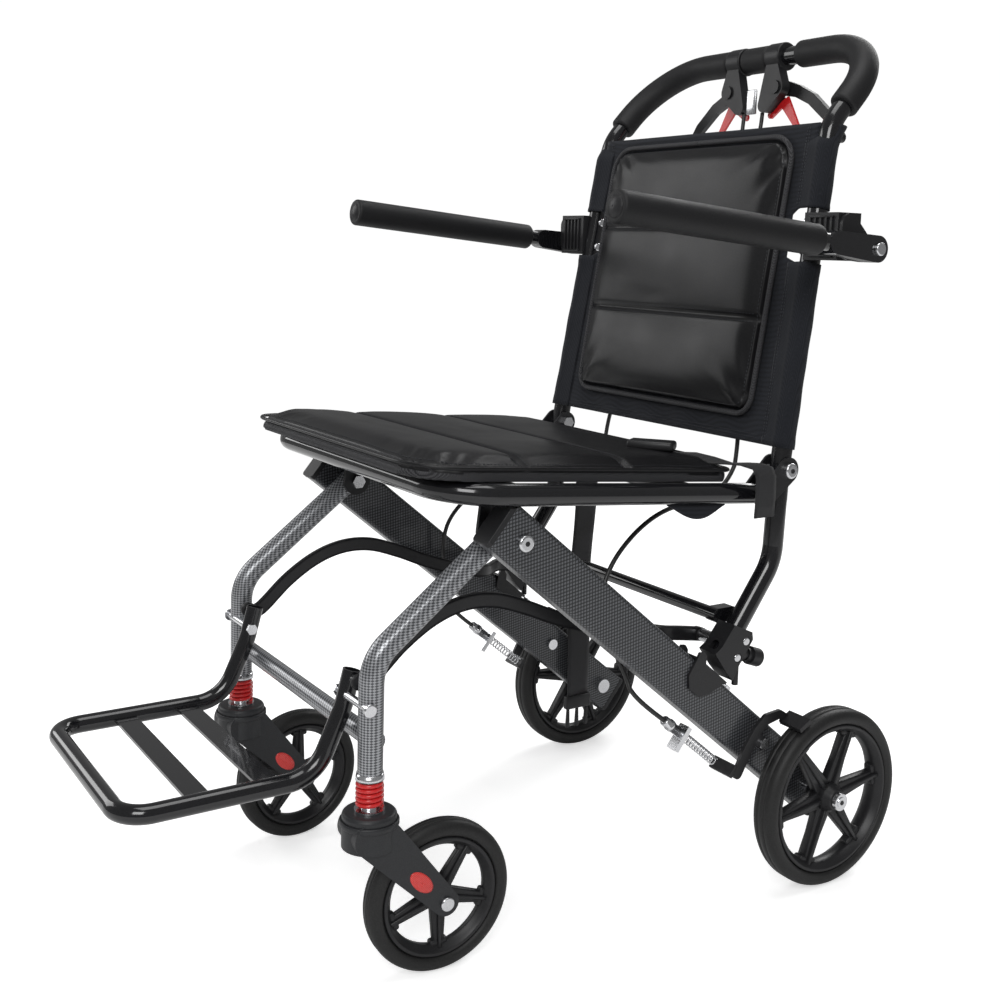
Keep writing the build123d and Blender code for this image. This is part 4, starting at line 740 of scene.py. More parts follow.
@dataclass
class SeatPad:
    """The padded seat with three sewn panels and a speckled side band."""

    half_x: float = 0.203
    front_y: float = -0.182
    rear_y: float = 0.203
    thickness: float = 0.018
    lift: float = 0.0115
    crown_rise: float = 0.0045
    seam_depth: float = 0.0045

    def place(self) -> Matrix:
        """The frame of the pad's base, X to the left and Z square to the seat."""
        middle = (self.front_y + self.rear_y) / 2
        up = Vector((0, SEAT_SLOPE, 1)).normalized()
        back = Vector((1, 0, 0)).cross(up) * -1.0
        turned = Matrix((Vector((1, 0, 0)), back, up)).transposed().to_4x4()
        return Matrix.Translation((0, middle, seat_height(middle) + self.lift)) @ turned

    def build(self) -> bpy.types.Object:
        """Make the pad, its piping and its stitches."""
        half_y = (self.rear_y - self.front_y) / 2 * math.hypot(1, SEAT_SLOPE)
        bm = slab(self.half_x - 0.002, half_y - 0.002, self.thickness - 0.002, (0.052, 0.022))
        pad = make_object("seat_pad", bm, LEATHER, MESH_BAND)
        inflate(pad, lambda spot: 0.002 if spot.z < 0.012 else 0.006)
        floor = self.thickness * 0.6
        seams = [-half_y + 2 * half_y * part for part in (0.31, 0.63)]
        edges = [-half_y - 0.01] + seams + [half_y + 0.01]
        crown(pad, self.half_x, half_y, edges, self.crown_rise, floor)
        channel(pad, seams, self.seam_depth, 0.0035, floor)
        self._crease(pad, half_y, floor)
        self._band(pad)
        place = self.place()
        pad.data.transform(place)
        for polygon in pad.data.polygons:
            polygon.use_smooth = True
        hand_over(pad, "seat_frame", LEATHER, "seat_cushion")
        self._stitches(pad, seams, half_y, place)
        self._piping(pad, half_y, place)
        self._tab()
        return pad

    @staticmethod
    def _tab() -> None:
        """The rounded cloth tab that hangs under the left seat tube."""
        bm = bmesh.new()
        bmesh.ops.create_grid(bm, x_segments=24, y_segments=6, size=0.5)
        for vert in bm.verts:
            y = 0.146 + 0.078 * vert.co.x
            drop = (vert.co.y + 0.5) * (0.001 + 0.014 * math.cos(math.pi * vert.co.x) ** 1.2)
            vert.co = Vector((0.203 + 0.003 * drop / 0.015, y, seat_height(y) - 0.0112 - drop))
        tab = make_object("seat_tab", bm, CLOTH)
        modifier(tab, "SOLIDIFY", thickness=0.002, offset=0.0)
        hand_over(tab, "seat_frame", CLOTH)

    def _crease(self, pad: bpy.types.Object, half_y: float, floor: float) -> None:
        """Add the faint pulls that run from the seams and corners."""
        dice = random.Random(4)
        creases = []
        for _ in range(9):
            x = dice.uniform(-0.8, 0.2) * self.half_x
            y = dice.uniform(-0.85, 0.85) * half_y
            start = Vector((x, y, 0))
            end = start + Vector((dice.uniform(0.07, 0.15), dice.uniform(-0.02, 0.02), 0))
            creases.append((start, end, dice.uniform(0.0002, 0.0004), 0.008))
        wrinkle(pad, creases, floor)

    def _band(self, pad: bpy.types.Object) -> None:
        """Give the upright side of the pad the speckled band."""
        for polygon in pad.data.polygons:
            upright = abs(polygon.normal.z) < 0.55 and polygon.center.z < self.thickness * 0.8
            polygon.material_index = 1 if upright else 0

    def _outline(self, half_y: float, inset: float, height: float) -> list[Vector]:
        """The pad's outline drawn in by inset, at a height, in the pad's own frame."""
        x, y = self.half_x - inset, half_y - inset
        corners = [Vector((0, y, height)), Vector((x, y, height)), Vector((x, -y, height)),
                   Vector((-x, -y, height)), Vector((-x, y, height)), Vector((0.001, y, height))]
        return rounded(corners, [0.022, 0.05, 0.05, 0.022], 8)

    def _piping(self, pad: bpy.types.Object, half_y: float, place: Matrix) -> None:
        """Sew a cord round the pad's upper edge."""
        route = [place @ p for p in self._outline(half_y, 0.0016, 0.0125)]
        bm = swept_bar(resampled(route, 0.006), [0.0019] * (len(resampled(route, 0.006))), 8)
        hand_over(make_object("seat_piping", bm, LEATHER), "seat_frame", LEATHER)

    def _stitches(self, pad: bpy.types.Object, seams: Sequence[float], half_y: float, place: Matrix) -> None:
        """Lay stitches beside the seams and along the border, on the pad's surface."""
        tree = BVHTree.FromPolygons([v.co for v in pad.data.vertices], [p.vertices for p in pad.data.polygons])
        down = (place.to_3x3() @ Vector((0, 0, -1))).normalized()
        bm = bmesh.new()
        routes = []
        for seam in seams:
            for side in (-0.0048, 0.0048):
                routes.append([Vector((x * self.half_x * 0.94, seam + side, 0.06)) for x in
                               [k / 40 - 1 for k in range(81)]])
        routes.append(resampled(self._outline(half_y, 0.012, 0.06), 0.006))
        for route in routes:
            laid = []
            for spot in route:
                hit = tree.ray_cast(place @ spot, down)[0]
                if hit:
                    laid.append(hit - down * 0.0002)
            stitch_row(bm, laid)
        hand_over(make_object("seat_stitches", bm, THREAD), "seat_frame", THREAD)


@dataclass
class BackRest:
    """The fabric cover stretched between the uprights and the padded panel on it."""

    low_z: float = 0.492
    high_z: float = 0.842
    gap_low_z: float = 0.690
    gap_high_z: float = 0.748
    inset: float = 0.026
    sleeve_radius: float = 0.0132
    pad_half_x: float = 0.158
    pad_low: float = 0.050
    pad_high: float = 0.362
    pad_thickness: float = 0.013

    def build(self) -> None:
        """Make the cover, its sleeves, hems and stitches, then the pad."""
        self._cover()
        self._pad()

    def _cover(self) -> None:
        """Make the cloth panel and the four sleeves round the uprights."""
        low, high = at_height(self.low_z), at_height(self.high_z) - 0.002
        gap_low, gap_high = at_height(self.gap_low_z), at_height(self.gap_high_z)
        bm = bmesh.new()
        bmesh.ops.create_grid(bm, x_segments=60, y_segments=60, size=0.5)
        dice = random.Random(11)
        ripples = [(dice.uniform(20, 60), dice.uniform(20, 60), dice.uniform(0, 6)) for _ in range(5)]
        for vert in bm.verts:
            t = low + (high - low) * (vert.co.y + 0.5)
            notch = max(0.0, min(1.0, min(t - gap_low, gap_high - t) / 0.004 + 0.5))
            half = upright_x(t) - 0.006 - (self.inset - 0.004) * notch
            x = vert.co.x * 2.0 * half
            ease = (1.0 - (abs(vert.co.x) * 2.0) ** 6)
            n = -0.0068
            n += ease * sum(0.00022 * math.sin(a * x + b * t + c) for a, b, c in ripples)
            lower = max(0.0, 1.0 - (t - low) / 0.06)
            n += 0.0009 * lower * ease * math.sin(90 * x + 25 * t)
            vert.co = up_back(x, t, n - (1 - ease) * 0.0012)
        area = sum(face.calc_area() for face in bm.faces)
        cover = make_object("back_cover_cloth", bm, CLOTH)
        modifier(cover, "SOLIDIFY", thickness=0.0022, offset=0.0)
        hand_over(cover, "back_frame", CLOTH, "back_cover")
        pieces = [self._sleeve(name, side, z0, z1) for name, side in SIDES
                  for z0, z1 in ((self.low_z, self.gap_low_z), (self.gap_high_z, self.high_z - 0.002))]
        pieces.append(self._hems(low, high, gap_low, gap_high))

    def _sleeve(self, name: str, side: float, z0: float, z1: float) -> bpy.types.Object:
        """A cloth sleeve round one upright between two heights, with a flap onto the panel."""
        t0, t1 = at_height(z0), at_height(z1)
        bm = bmesh.new()
        bmesh.ops.create_grid(bm, x_segments=36, y_segments=30, size=0.5)
        dice = random.Random(int(z0 * 1000) + (7 if side > 0 else 3))
        phases = [dice.uniform(0, 6.28) for _ in range(4)]
        span = math.radians(292)
        for vert in bm.verts:
            t = t0 + (t1 - t0) * (vert.co.y + 0.5)
            part = vert.co.x + 0.5
            ripple = 0.00025 * math.sin(60 * t + phases[0] + 5 * part) + 0.0002 * math.sin(140 * t + phases[1])
            hem = 0.0005 if min(vert.co.y + 0.5, 0.5 - vert.co.y) < 0.05 else 0.0
            radius = self.sleeve_radius + ripple + hem
            if part < 0.25:
                way = 1.0 - part / 0.25
                x, n = upright_x(t) - 0.002 - 0.022 * way, -radius + 0.0048 * way ** 0.7
            else:
                angle = -math.pi / 2 + span * (part - 0.25) / 0.75 * 0.62
                x, n = upright_x(t) - 0.002 + (radius + 0.001) * math.cos(angle), radius * math.sin(angle)
                if angle > math.pi / 2:
                    x, n = upright_x(t) - 0.002 - 0.03 * (angle - math.pi / 2), radius * math.sin(math.pi / 2)
            lean = max(0.0, t - 0.352) * 0.35
            vert.co = up_back(side * x, t, n + lean)
        sleeve = make_object(f"cover_sleeve_{name}_{'low' if z0 < 0.6 else 'high'}", bm, CLOTH)
        modifier(sleeve, "SOLIDIFY", thickness=0.0016, offset=1.0 if side > 0 else 1.0)
        return hand_over(sleeve, "back_frame", CLOTH)

    def _hems(self, low: float, high: float, gap_low: float, gap_high: float) -> bpy.types.Object:
        """Double stitched lines beside the uprights and along the cloth's lower edge."""
        bm = bmesh.new()
        for side in (1.0, -1.0):
            for start, end in ((low + 0.004, gap_low - 0.004), (gap_high + 0.004, high - 0.004)):
                for inset in (0.019, 0.0222):
                    row = [up_back(side * (upright_x(t) - inset), t, -0.0095) for t in (start, end)]
                    stitch_row(bm, row, 0.0036)
        for rise in (0.006, 0.0095):
            t = low + rise
            stitch_row(bm, [up_back(-0.178, t, -0.0084), up_back(0.178, t, -0.0084)], 0.0036)
        return hand_over(make_object("cover_stitches", bm, THREAD), "back_frame", THREAD)

    def _pad(self) -> None:
        """Make the padded panel of three sewn parts, with its binding and stitches."""
        half_y = (self.pad_high - self.pad_low) / 2
        middle = (self.pad_high + self.pad_low) / 2
        bm = slab(self.pad_half_x - 0.003, half_y - 0.003, self.pad_thickness - 0.003, (0.02, 0.03))
        pad = make_object("back_pad_leather", bm, LEATHER, MESH_BAND)
        inflate(pad, lambda spot: 0.0015 if spot.z < 0.006 else 0.004)
        floor = self.pad_thickness * 0.5
        seams = [-half_y + 2 * half_y * part for part in (0.345, 0.67)]
        crown(pad, self.pad_half_x, half_y, [-half_y - 0.01] + seams + [half_y + 0.01], 0.004, floor)
        channel(pad, seams, 0.0042, 0.0032, floor)
        dice = random.Random(9)
        creases = []
        for _ in range(9):
            start = Vector((dice.uniform(-0.8, 0.1) * self.pad_half_x, dice.uniform(-0.9, 0.9) * half_y, 0))
            end = start + Vector((dice.uniform(0.07, 0.14), dice.uniform(-0.012, 0.012), 0))
            creases.append((start, end, dice.uniform(0.0002, 0.0005), 0.008))
        wrinkle(pad, creases, floor)
        front = Vector((0, -math.cos(BACK_ANGLE), math.sin(BACK_ANGLE)))
        up = Vector((0, math.sin(BACK_ANGLE), math.cos(BACK_ANGLE)))
        turned = Matrix((up.cross(front), up, front)).transposed().to_4x4()
        place = Matrix.Translation(up_back(0.0, middle, -0.0093)) @ turned
        pad.data.transform(place)
        for polygon in pad.data.polygons:
            polygon.use_smooth = True
        hand_over(pad, "back_frame", LEATHER, "back_pad")
        x, y = self.pad_half_x - 0.001, half_y - 0.001
        outline = [Vector((0, y, 0.004)), Vector((x, y, 0.004)), Vector((x, -y, 0.004)), Vector((-x, -y, 0.004)),
                   Vector((-x, y, 0.004)), Vector((0.001, y, 0.004))]
        route = resampled([place @ p for p in rounded(outline, [0.03, 0.02, 0.02, 0.03])], 0.006)
        binding = make_object("back_pad_binding", swept_bar(route, [0.0032] * len(route), 8), MESH_BAND)
        hand_over(binding, "back_frame", MESH_BAND)
        self._pad_stitches(pad, seams, x, y, place)

    def _pad_stitches(self, pad: bpy.types.Object, seams: Sequence[float], x: float, y: float,
                      place: Matrix) -> None:
        """Lay stitches on the pad beside its seams and round its border."""
        tree = BVHTree.FromPolygons([v.co for v in pad.data.vertices], [p.vertices for p in pad.data.polygons])
        down = (place.to_3x3() @ Vector((0, 0, -1))).normalized()
        routes = [[Vector((part / 30 * x * 0.93, seam + shift, 0.06)) for part in range(-30, 31)]
                  for seam in seams for shift in (-0.0045, 0.0045)]
        a, b = x - 0.008, y - 0.008
        border = [Vector((0, b, 0.06)), Vector((a, b, 0.06)), Vector((a, -b, 0.06)), Vector((-a, -b, 0.06)),
                  Vector((-a, b, 0.06)), Vector((0.001, b, 0.06))]
        routes.append(resampled(rounded(border, [0.024, 0.014, 0.014, 0.024]), 0.006))
        bm = bmesh.new()
        for route in routes:
            hits = [tree.ray_cast(place @ spot, down)[0] for spot in route]
            stitch_row(bm, [hit - down * 0.0002 for hit in hits if hit])
        hand_over(make_object("back_pad_stitches", bm, THREAD), "back_frame", THREAD)


@dataclass
class FoamGrips:
    """The foam sleeves on the push handle and the armrests."""

    radius: float = 0.016
    edge: float = 0.0035
    rise: float = 0.132
    corner: float = 0.085
    first: float = 0.026
    inner_left: float = 0.058
    inner_right: float = 0.0575
    middle: tuple[float, float] = (-0.0325, 0.0105)

    def build(self) -> None:
        """Make the three handle sleeves and both armrests."""
        names = []
        for (name, side), inner in zip(SIDES, (self.inner_left, self.inner_right)):
            corners = [handle_point(self.first, side * 0.192), handle_point(self.rise, side * 0.192),
                       handle_point(self.rise, side * inner)]
            names.append(self._sleeve(f"handle_foam_{name}", rounded(corners, [self.corner], 16), "back_frame"))
        low, high = self.middle
        route = [handle_point(self.rise, low), handle_point(self.rise, high)]
        names.append(self._sleeve("handle_foam_middle", route, "back_frame"))
        for piece in names:
            hand_over(piece, "back_frame", FOAM, "handle_foam")
        for name, side in SIDES:
            self._armrest(name, side)

    def _sleeve(self, name: str, route: Sequence[Vector], body: str) -> bpy.types.Object:
        """One foam sleeve along a route."""
        places, radii = sleeve_stations(route, self.radius, self.edge)
        return make_object(name, swept_bar(places, radii, 36), FOAM)

    def _armrest(self, name: str, side: float) -> None:
        """One armrest's foam, with a domed plug set into its front end."""
        low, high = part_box(f"armrest_foam_{name}")
        slope = math.radians(5.0)
        hinge = Vector((side * 0.260, 0.322, 0.707))
        ahead = Vector((0, -math.cos(slope), math.sin(slope)))
        route = [hinge + ahead * 0.082, hinge + ahead * 0.3418]
        places, radii = sleeve_stations(route, self.radius, 0.003)
        bm = swept_bar(places, radii, 36)
        foam = make_object(f"armrest_grip_{name}", bm, FOAM)
        hand_over(foam, f"armrest_{name}", FOAM, f"armrest_foam_{name}")
        tip = route[1]
        turned = frames_along([tip, tip + ahead])[0]
        bm = bmesh.new()
        disc = [(0.0008, 0.0001), (0.0008, 0.0105), (-0.0015, 0.0112), (-0.0015, 0.0001)]
        dome = [(0.0028 - 0.0026 * (k / 6) ** 2, max(0.0001, 0.0095 * k / 6)) for k in range(7)]
        lathe(bm, disc, 32)
        lathe(bm, dome + [(-0.001, 0.0095), (-0.001, 0.0001)], 32)
        bmesh.ops.transform(bm, matrix=turned @ Matrix.Rotation(-math.pi / 2, 4, "Y"), verts=bm.verts)
        hand_over(make_object(f"armrest_plug_{name}", bm, PLASTIC), f"armrest_{name}", PLASTIC)


# ------------------------------------------------------------------------------------------ wheels
@dataclass
class Wheel:
    """A moulded wheel with a solid tyre, turning about its own X."""

    name: str
    body: str
    tyre_node: str
    rim_node: str
    centre: Vector
    toe: float
    radius: float
    width: float
    rim_radius: float
    hub_radius: float
    hub_half: float
    bore: float
    spokes: int
    phase: float
    spoke_wide: float
    taper: float

    def place(self) -> Matrix:
        """The wheel's own frame."""
        return Matrix.Translation(self.centre) @ Matrix.Rotation(self.toe, 4, "Z")

    def build(self) -> None:
        """Make the tyre and the rim."""
        hand_over(self._tyre(), self.body, RUBBER, self.tyre_node)
        hand_over(self._rim(), self.body, RIM, self.rim_node)

    def _tyre(self) -> bpy.types.Object:
        """A tyre with round shoulders, two shallow grooves and side lips."""
        half, outer, inner = self.width / 2, self.radius, self.rim_radius + 0.0002
        shoulder = min(0.009, half * 0.7)
        side = [(half - 0.0035, inner), (half - 0.001, inner + 0.002), (half, inner + 0.005)]
        arc = [(half - shoulder + shoulder * math.cos(a), outer - shoulder + shoulder * math.sin(a))
               for a in (math.pi / 2 * k / 7 for k in range(8))]
        groove = [(half * 0.36, outer), (half * 0.34, outer - 0.0009), (half * 0.26, outer - 0.0009),
                  (half * 0.24, outer)]
        right = side + arc + groove
        profile = right + [(-x, r) for x, r in reversed(right)]
        bm = bmesh.new()
        lathe(bm, profile, 96)
        bmesh.ops.transform(bm, matrix=self.place(), verts=bm.verts)
        return make_object(f"{self.name}_tyre_rubber", bm, RUBBER)

    def _rim(self) -> bpy.types.Object:
        """The rim ring, stepped hub and tapered spokes with a rib on each."""
        half = self.width / 2 - 0.004
        outer = self.rim_radius
        bm = bmesh.new()
        ring = [(half, outer), (half + 0.002, outer - 0.001), (half + 0.002, outer - 0.004),
                (half - 0.001, outer - 0.006), (half - 0.004, outer - 0.0085), (half * 0.3, outer - 0.010)]
        lathe(bm, ring + [(-x, r) for x, r in reversed(ring)], 96)
        hub = [(self.hub_half, self.bore + 0.0002), (self.hub_half, self.hub_radius * 0.68),
               (self.hub_half - 0.001, self.hub_radius * 0.74), (self.hub_half - 0.0035, self.hub_radius * 0.78),
               (half * 0.95, self.hub_radius * 0.97), (half * 0.8, self.hub_radius)]
        lathe(bm, hub + [(-x, r) for x, r in reversed(hub)], 48)
        length = outer - 0.006 - self.hub_radius * 0.7
        mid = (outer - 0.006 + self.hub_radius * 0.7) / 2
        for k in range(self.spokes):
            turn = Matrix.Rotation(math.radians(90 + self.phase) + 2 * math.pi * k / self.spokes, 4, "X")
            here = turn @ Matrix.Translation((0, 0, mid))
            bevelled_block(bm, (half * 1.0, self.spoke_wide, length), here, 0.0018, self.taper)
            bevelled_block(bm, (half * 1.7, self.spoke_wide * 0.22, length), here, 0.0011)
            foot = turn @ Matrix.Translation((0, 0, outer - 0.011))
            bevelled_block(bm, (half * 1.1, self.spoke_wide * 1.15, 0.007), foot, 0.0025)
        bmesh.ops.transform(bm, matrix=self.place(), verts=bm.verts)
        rim = make_object(f"{self.name}_rim_moulding", bm, RIM)
        modifier(rim, "BEVEL", width=0.0005, segments=2, limit_method="ANGLE", angle_limit=math.radians(40))
        return rim


@dataclass
class Wheels:
    """All four wheels and the fork details."""

    trail: float = 0.072
    toe_out: float = math.radians(4.0)

    def build(self) -> None:
        """Make the rear wheels, the caster wheels and the forks' trim."""
        for name, side in SIDES:
            Wheel(f"rear_{name}", f"rear_wheel_{name}", f"rear_tyre_{name}", f"rear_rim_{name}",
                  Vector((side * 0.234, 0.330, 0.100)), 0.0, 0.100, 0.030, 0.084, 0.016, 0.0185, 0.006,
                  6, side * 8.0, 0.022, 0.42).build()
            centre = Vector((side * (0.160 + self.trail * math.sin(self.toe_out)),
                             -0.203 + self.trail * math.cos(self.toe_out), 0.075))
            Wheel(f"caster_{name}", f"caster_wheel_{name}", f"caster_tyre_{name}", f"caster_rim_{name}",
                  centre, -side * self.toe_out, 0.075, 0.024, 0.060, 0.013, 0.013, 0.004,
                  5, side * 20.0, 0.017, 0.62).build()
            self._fork_trim(name, side)

    def _fork_trim(self, name: str, side: float) -> None:
        """The red oval on each cheek and the raised ring under the fork's cap."""
        local = Matrix.Translation((side * 0.160, -0.203, 0)) @ Matrix.Rotation(-side * self.toe_out, 4, "Z")
        lean = math.atan2(0.132 - 0.075, 0.060)
        bm = bmesh.new()
        for face in (1.0, -1.0):
            seat = Matrix.Translation((face * 0.0218, 0.045, 0.102)) @ Matrix.Rotation(-lean, 4, "X")
            dome = [(0.0016 - 0.0012 * (k / 6) ** 2, max(0.0001, k / 6)) for k in range(7)]
            fresh = bmesh.new()
            lathe(fresh, dome + [(-0.0005, 1.0), (-0.0005, 0.0001)], 36)
            shape = Matrix.Diagonal((face, 0.0150, 0.0078, 1))
            bmesh.ops.transform(fresh, matrix=local @ seat @ shape, verts=fresh.verts)
            bmesh.ops.recalc_face_normals(fresh, faces=fresh.faces[:])
            held = bpy.data.meshes.new("oval")
            fresh.to_mesh(held)
            fresh.free()
            bm.from_mesh(held)
            bpy.data.meshes.remove(held)
        hand_over(make_object(f"fork_ovals_{name}", bm, RED_OVAL), f"fork_{name}", RED_OVAL)
        bm = bmesh.new()
        band = [(0.1665, 0.0262), (0.1665, 0.0275), (0.1655, 0.0283), (0.1620, 0.0283), (0.1610, 0.0275),
                (0.1610, 0.0262)]
        lathe(bm, band, 64)
        turn = local @ Matrix.Rotation(-math.pi / 2, 4, "Y")
        bmesh.ops.transform(bm, matrix=turn, verts=bm.verts)
        hand_over(make_object(f"fork_ring_{name}", bm, FORK), f"fork_{name}", FORK)


# ------------------------------------------------------------------------------------------ straps and cables
@dataclass
class LapBelt:
    """The two halves of the lap belt, with buckle and tongue."""

    thickness: float = 0.0016
    anchor: tuple[float, float, float] = (-0.168, 0.282, 0.450)

    def build(self, pad: bpy.types.Object) -> None:
        """Make both straps and their fittings.

        Args:
            pad: the seat pad that the left strap lies on.
        """
        self._left(pad)
        self._right()

    def _left(self, pad: bpy.types.Object) -> None:
        """The strap over the seat's left rear corner, and its buckle."""
        tree = BVHTree.FromPolygons([v.co for v in pad.data.vertices], [p.vertices for p in pad.data.polygons])
        flat = [Vector((x, 0.221 - 0.052 * (0.2268 - x) / 0.06, 0.0)) for x in (0.160, 0.175, 0.190, 0.203)]
        points = []
        for spot in flat:
            hit = tree.ray_cast(Vector((spot.x, spot.y, 0.6)), Vector((0, 0, -1)))[0]
            top = hit.z if hit else seat_height(spot.y) + 0.031
            points.append(Vector((spot.x, spot.y, max(top, seat_height(spot.y) + 0.029) + 0.0016)))
        points += [Vector((0.214, 0.2105, 0.4805)), Vector((0.2235, 0.2185, 0.4770)), Vector((0.2265, 0.2210, 0.468)),
                   Vector((0.2270, 0.2212, 0.452)), Vector((0.2268, 0.2212, 0.437)), Vector((0.2262, 0.2212, 0.4245))]
        over = Vector((0.55, 0.83, 0.0)).normalized()
        drop = Vector((0.0, 1.0, 0.0))
        across = [over.lerp(drop, min(1.0, k / 5)).normalized() for k in range(len(points))]
        strap = make_object("belt_left_webbing", ribbon(points, across, 0.028, self.thickness), WEBBING)
        hand_over(strap, "seat_frame", WEBBING, "belt_strap_left")
        bm = bmesh.new()
        where = points[0] + Vector((-0.026, -0.022, 0.0052))
        turn = Matrix.Rotation(math.radians(40), 4, "Z") @ Matrix.Rotation(-0.04, 4, "X")
        bevelled_block(bm, (0.030, 0.010, 0.050), Matrix.Translation(where) @ turn
                       @ Matrix.Rotation(math.pi / 2, 4, "Y") @ Matrix.Rotation(math.pi / 2, 4, "Z"), 0.003)
        hand_over(make_object("belt_buckle", bm, PLASTIC), "seat_frame", PLASTIC, "belt_buckles")
        bm = bmesh.new()
        self._tongue(bm)
        tongue = make_object("belt_tongue", bm, PLASTIC)
        hand_over(tongue, "seat_frame", PLASTIC, "belt_buckles")
        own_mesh(tongue)

    def _tongue(self, bm: bmesh.types.BMesh) -> None:
        """Add the three-pronged tongue at the low end of the hanging strap."""
        bevelled_block(bm, (0.009, 0.040, 0.018), Matrix.Translation((-0.168, 0.282, 0.0888)), 0.002)
        for shift in (-0.015, 0.0, 0.015):
            bevelled_block(bm, (0.004, 0.006, 0.026), Matrix.Translation((-0.168, 0.282 + shift, 0.0668)), 0.0012, 0.6)

    def _right(self) -> None:
        """The strap that hangs behind the seat on the right."""
        points = []
        for k in range(25):
            part = k / 24
            z = 0.450 - part * 0.352
            points.append(Vector((-0.168 + 0.003 * math.sin(part * 9.0), 0.282 + 0.002 * math.sin(part * 6.0), z)))
        points = [Vector((-0.180, 0.282, 0.451)), Vector((-0.174, 0.282, 0.4517))] + points
        across = [Vector((0.06 * math.sin(k * 0.4), 1.0, 0.0)).normalized() for k in range(len(points))]
        strap = make_object("belt_right_webbing", ribbon(points, across, 0.034, self.thickness), WEBBING)
        hand_over(strap, "seat_frame", WEBBING, "belt_strap_right")
        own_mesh(strap)


@dataclass
class Cables:
    """The brake cables, from the levers behind the back and under the seat to their stops."""

    radius: float = 0.0025
    join: tuple[float, float, float] = (0.120, 0.277, 0.462)

    def build(self) -> None:
        """Make the upper and the lower run on each side."""
        bar = handle_point(0.132, 0.0)
        for name, side in SIDES:
            x = -0.011 + side * 0.016
            jx = side * self.join[0]
            upper = [(x, 0.404, bar.z - 0.0656), (x, 0.401, bar.z - 0.106), (side * 0.006, 0.366, 0.762),
                     (side * 0.030, 0.326, 0.668), (side * 0.084, 0.300, 0.570), (jx, 0.283, 0.506),
                     (jx, self.join[1], self.join[2])]
            cable = cord_mesh(f"brake_cable_upper_{name}", [Vector(p) for p in upper], self.radius)
            hand_over(cable, "back_frame", SHEATH, "brake_cables_upper")
            lead = on_beam(side * 0.188, 0.232, -0.0455)
            stop = on_beam(side * 0.192, 0.284, -0.0435)
            lower = [Vector((jx, 0.2765, 0.4595)), Vector((jx + side * 0.002, 0.262, 0.434)),
                     Vector((side * 0.132, 0.206, 0.428)), Vector((side * 0.146, 0.130, 0.418)),
                     Vector((side * 0.158, 0.066, 0.372)), Vector((side * 0.162, 0.058, 0.318)),
                     Vector((side * 0.176, 0.084, 0.262)), lead, stop]
            cable = cord_mesh(f"brake_cable_lower_{name}", lower, self.radius)
            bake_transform(cable)
            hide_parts("brake_cables_lower")
            LOG.info("made %s", cable.name)


# ------------------------------------------------------------------------------------------ hard details
@dataclass
class Springs:
    """The red suspension coils and the small brake return coils, each a fixed shape on one body."""

    coil_radius: float = 0.0114
    coil_wire: float = 0.0021
    coil_foot: float = 0.1783
    coil_top: float = 0.2017
    brake_radius: float = 0.0046
    brake_wire: float = 0.0008
    brake_start: float = 0.3205
    brake_end: float = 0.3795

    def build(self) -> None:
        """Make one coil of each kind on each side."""
        for name, side in SIDES:
            foot = Vector((side * 0.160, -0.203, self.coil_foot))
            top = Vector((side * 0.160, -0.203, self.coil_top))
            red = make_object(f"suspension_coil_{name}",
                              self._coil(foot, top, self.coil_radius, self.coil_wire, 5.0), RED_COIL)
            hand_over(red, "front_frame", RED_COIL, "caster_springs")
            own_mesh(red)
            start = on_beam(side * 0.192, self.brake_start, -0.0435)
            end = on_beam(side * 0.192, self.brake_end, -0.0435)
            bright = make_object(f"brake_coil_{name}",
                                 self._coil(start, end, self.brake_radius, self.brake_wire, 12.0), ZINC)
            hand_over(bright, "beams", ZINC, "brake_springs")
            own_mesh(bright)

    @staticmethod
    def _coil(start: Vector, end: Vector, radius: float, wire: float, turns: float) -> bmesh.types.BMesh:
        """A round wire wound from one place to another."""
        run = end - start
        side = run.orthogonal().normalized()
        other = run.normalized().cross(side)
        steps = int(turns * 28)
        points = []
        for k in range(steps + 1):
            angle = 2 * math.pi * turns * k / steps
            points.append(start + run * (k / steps) + (side * math.cos(angle) + other * math.sin(angle)) * radius)
        return swept_bar(points, [wire] * len(points), 10)


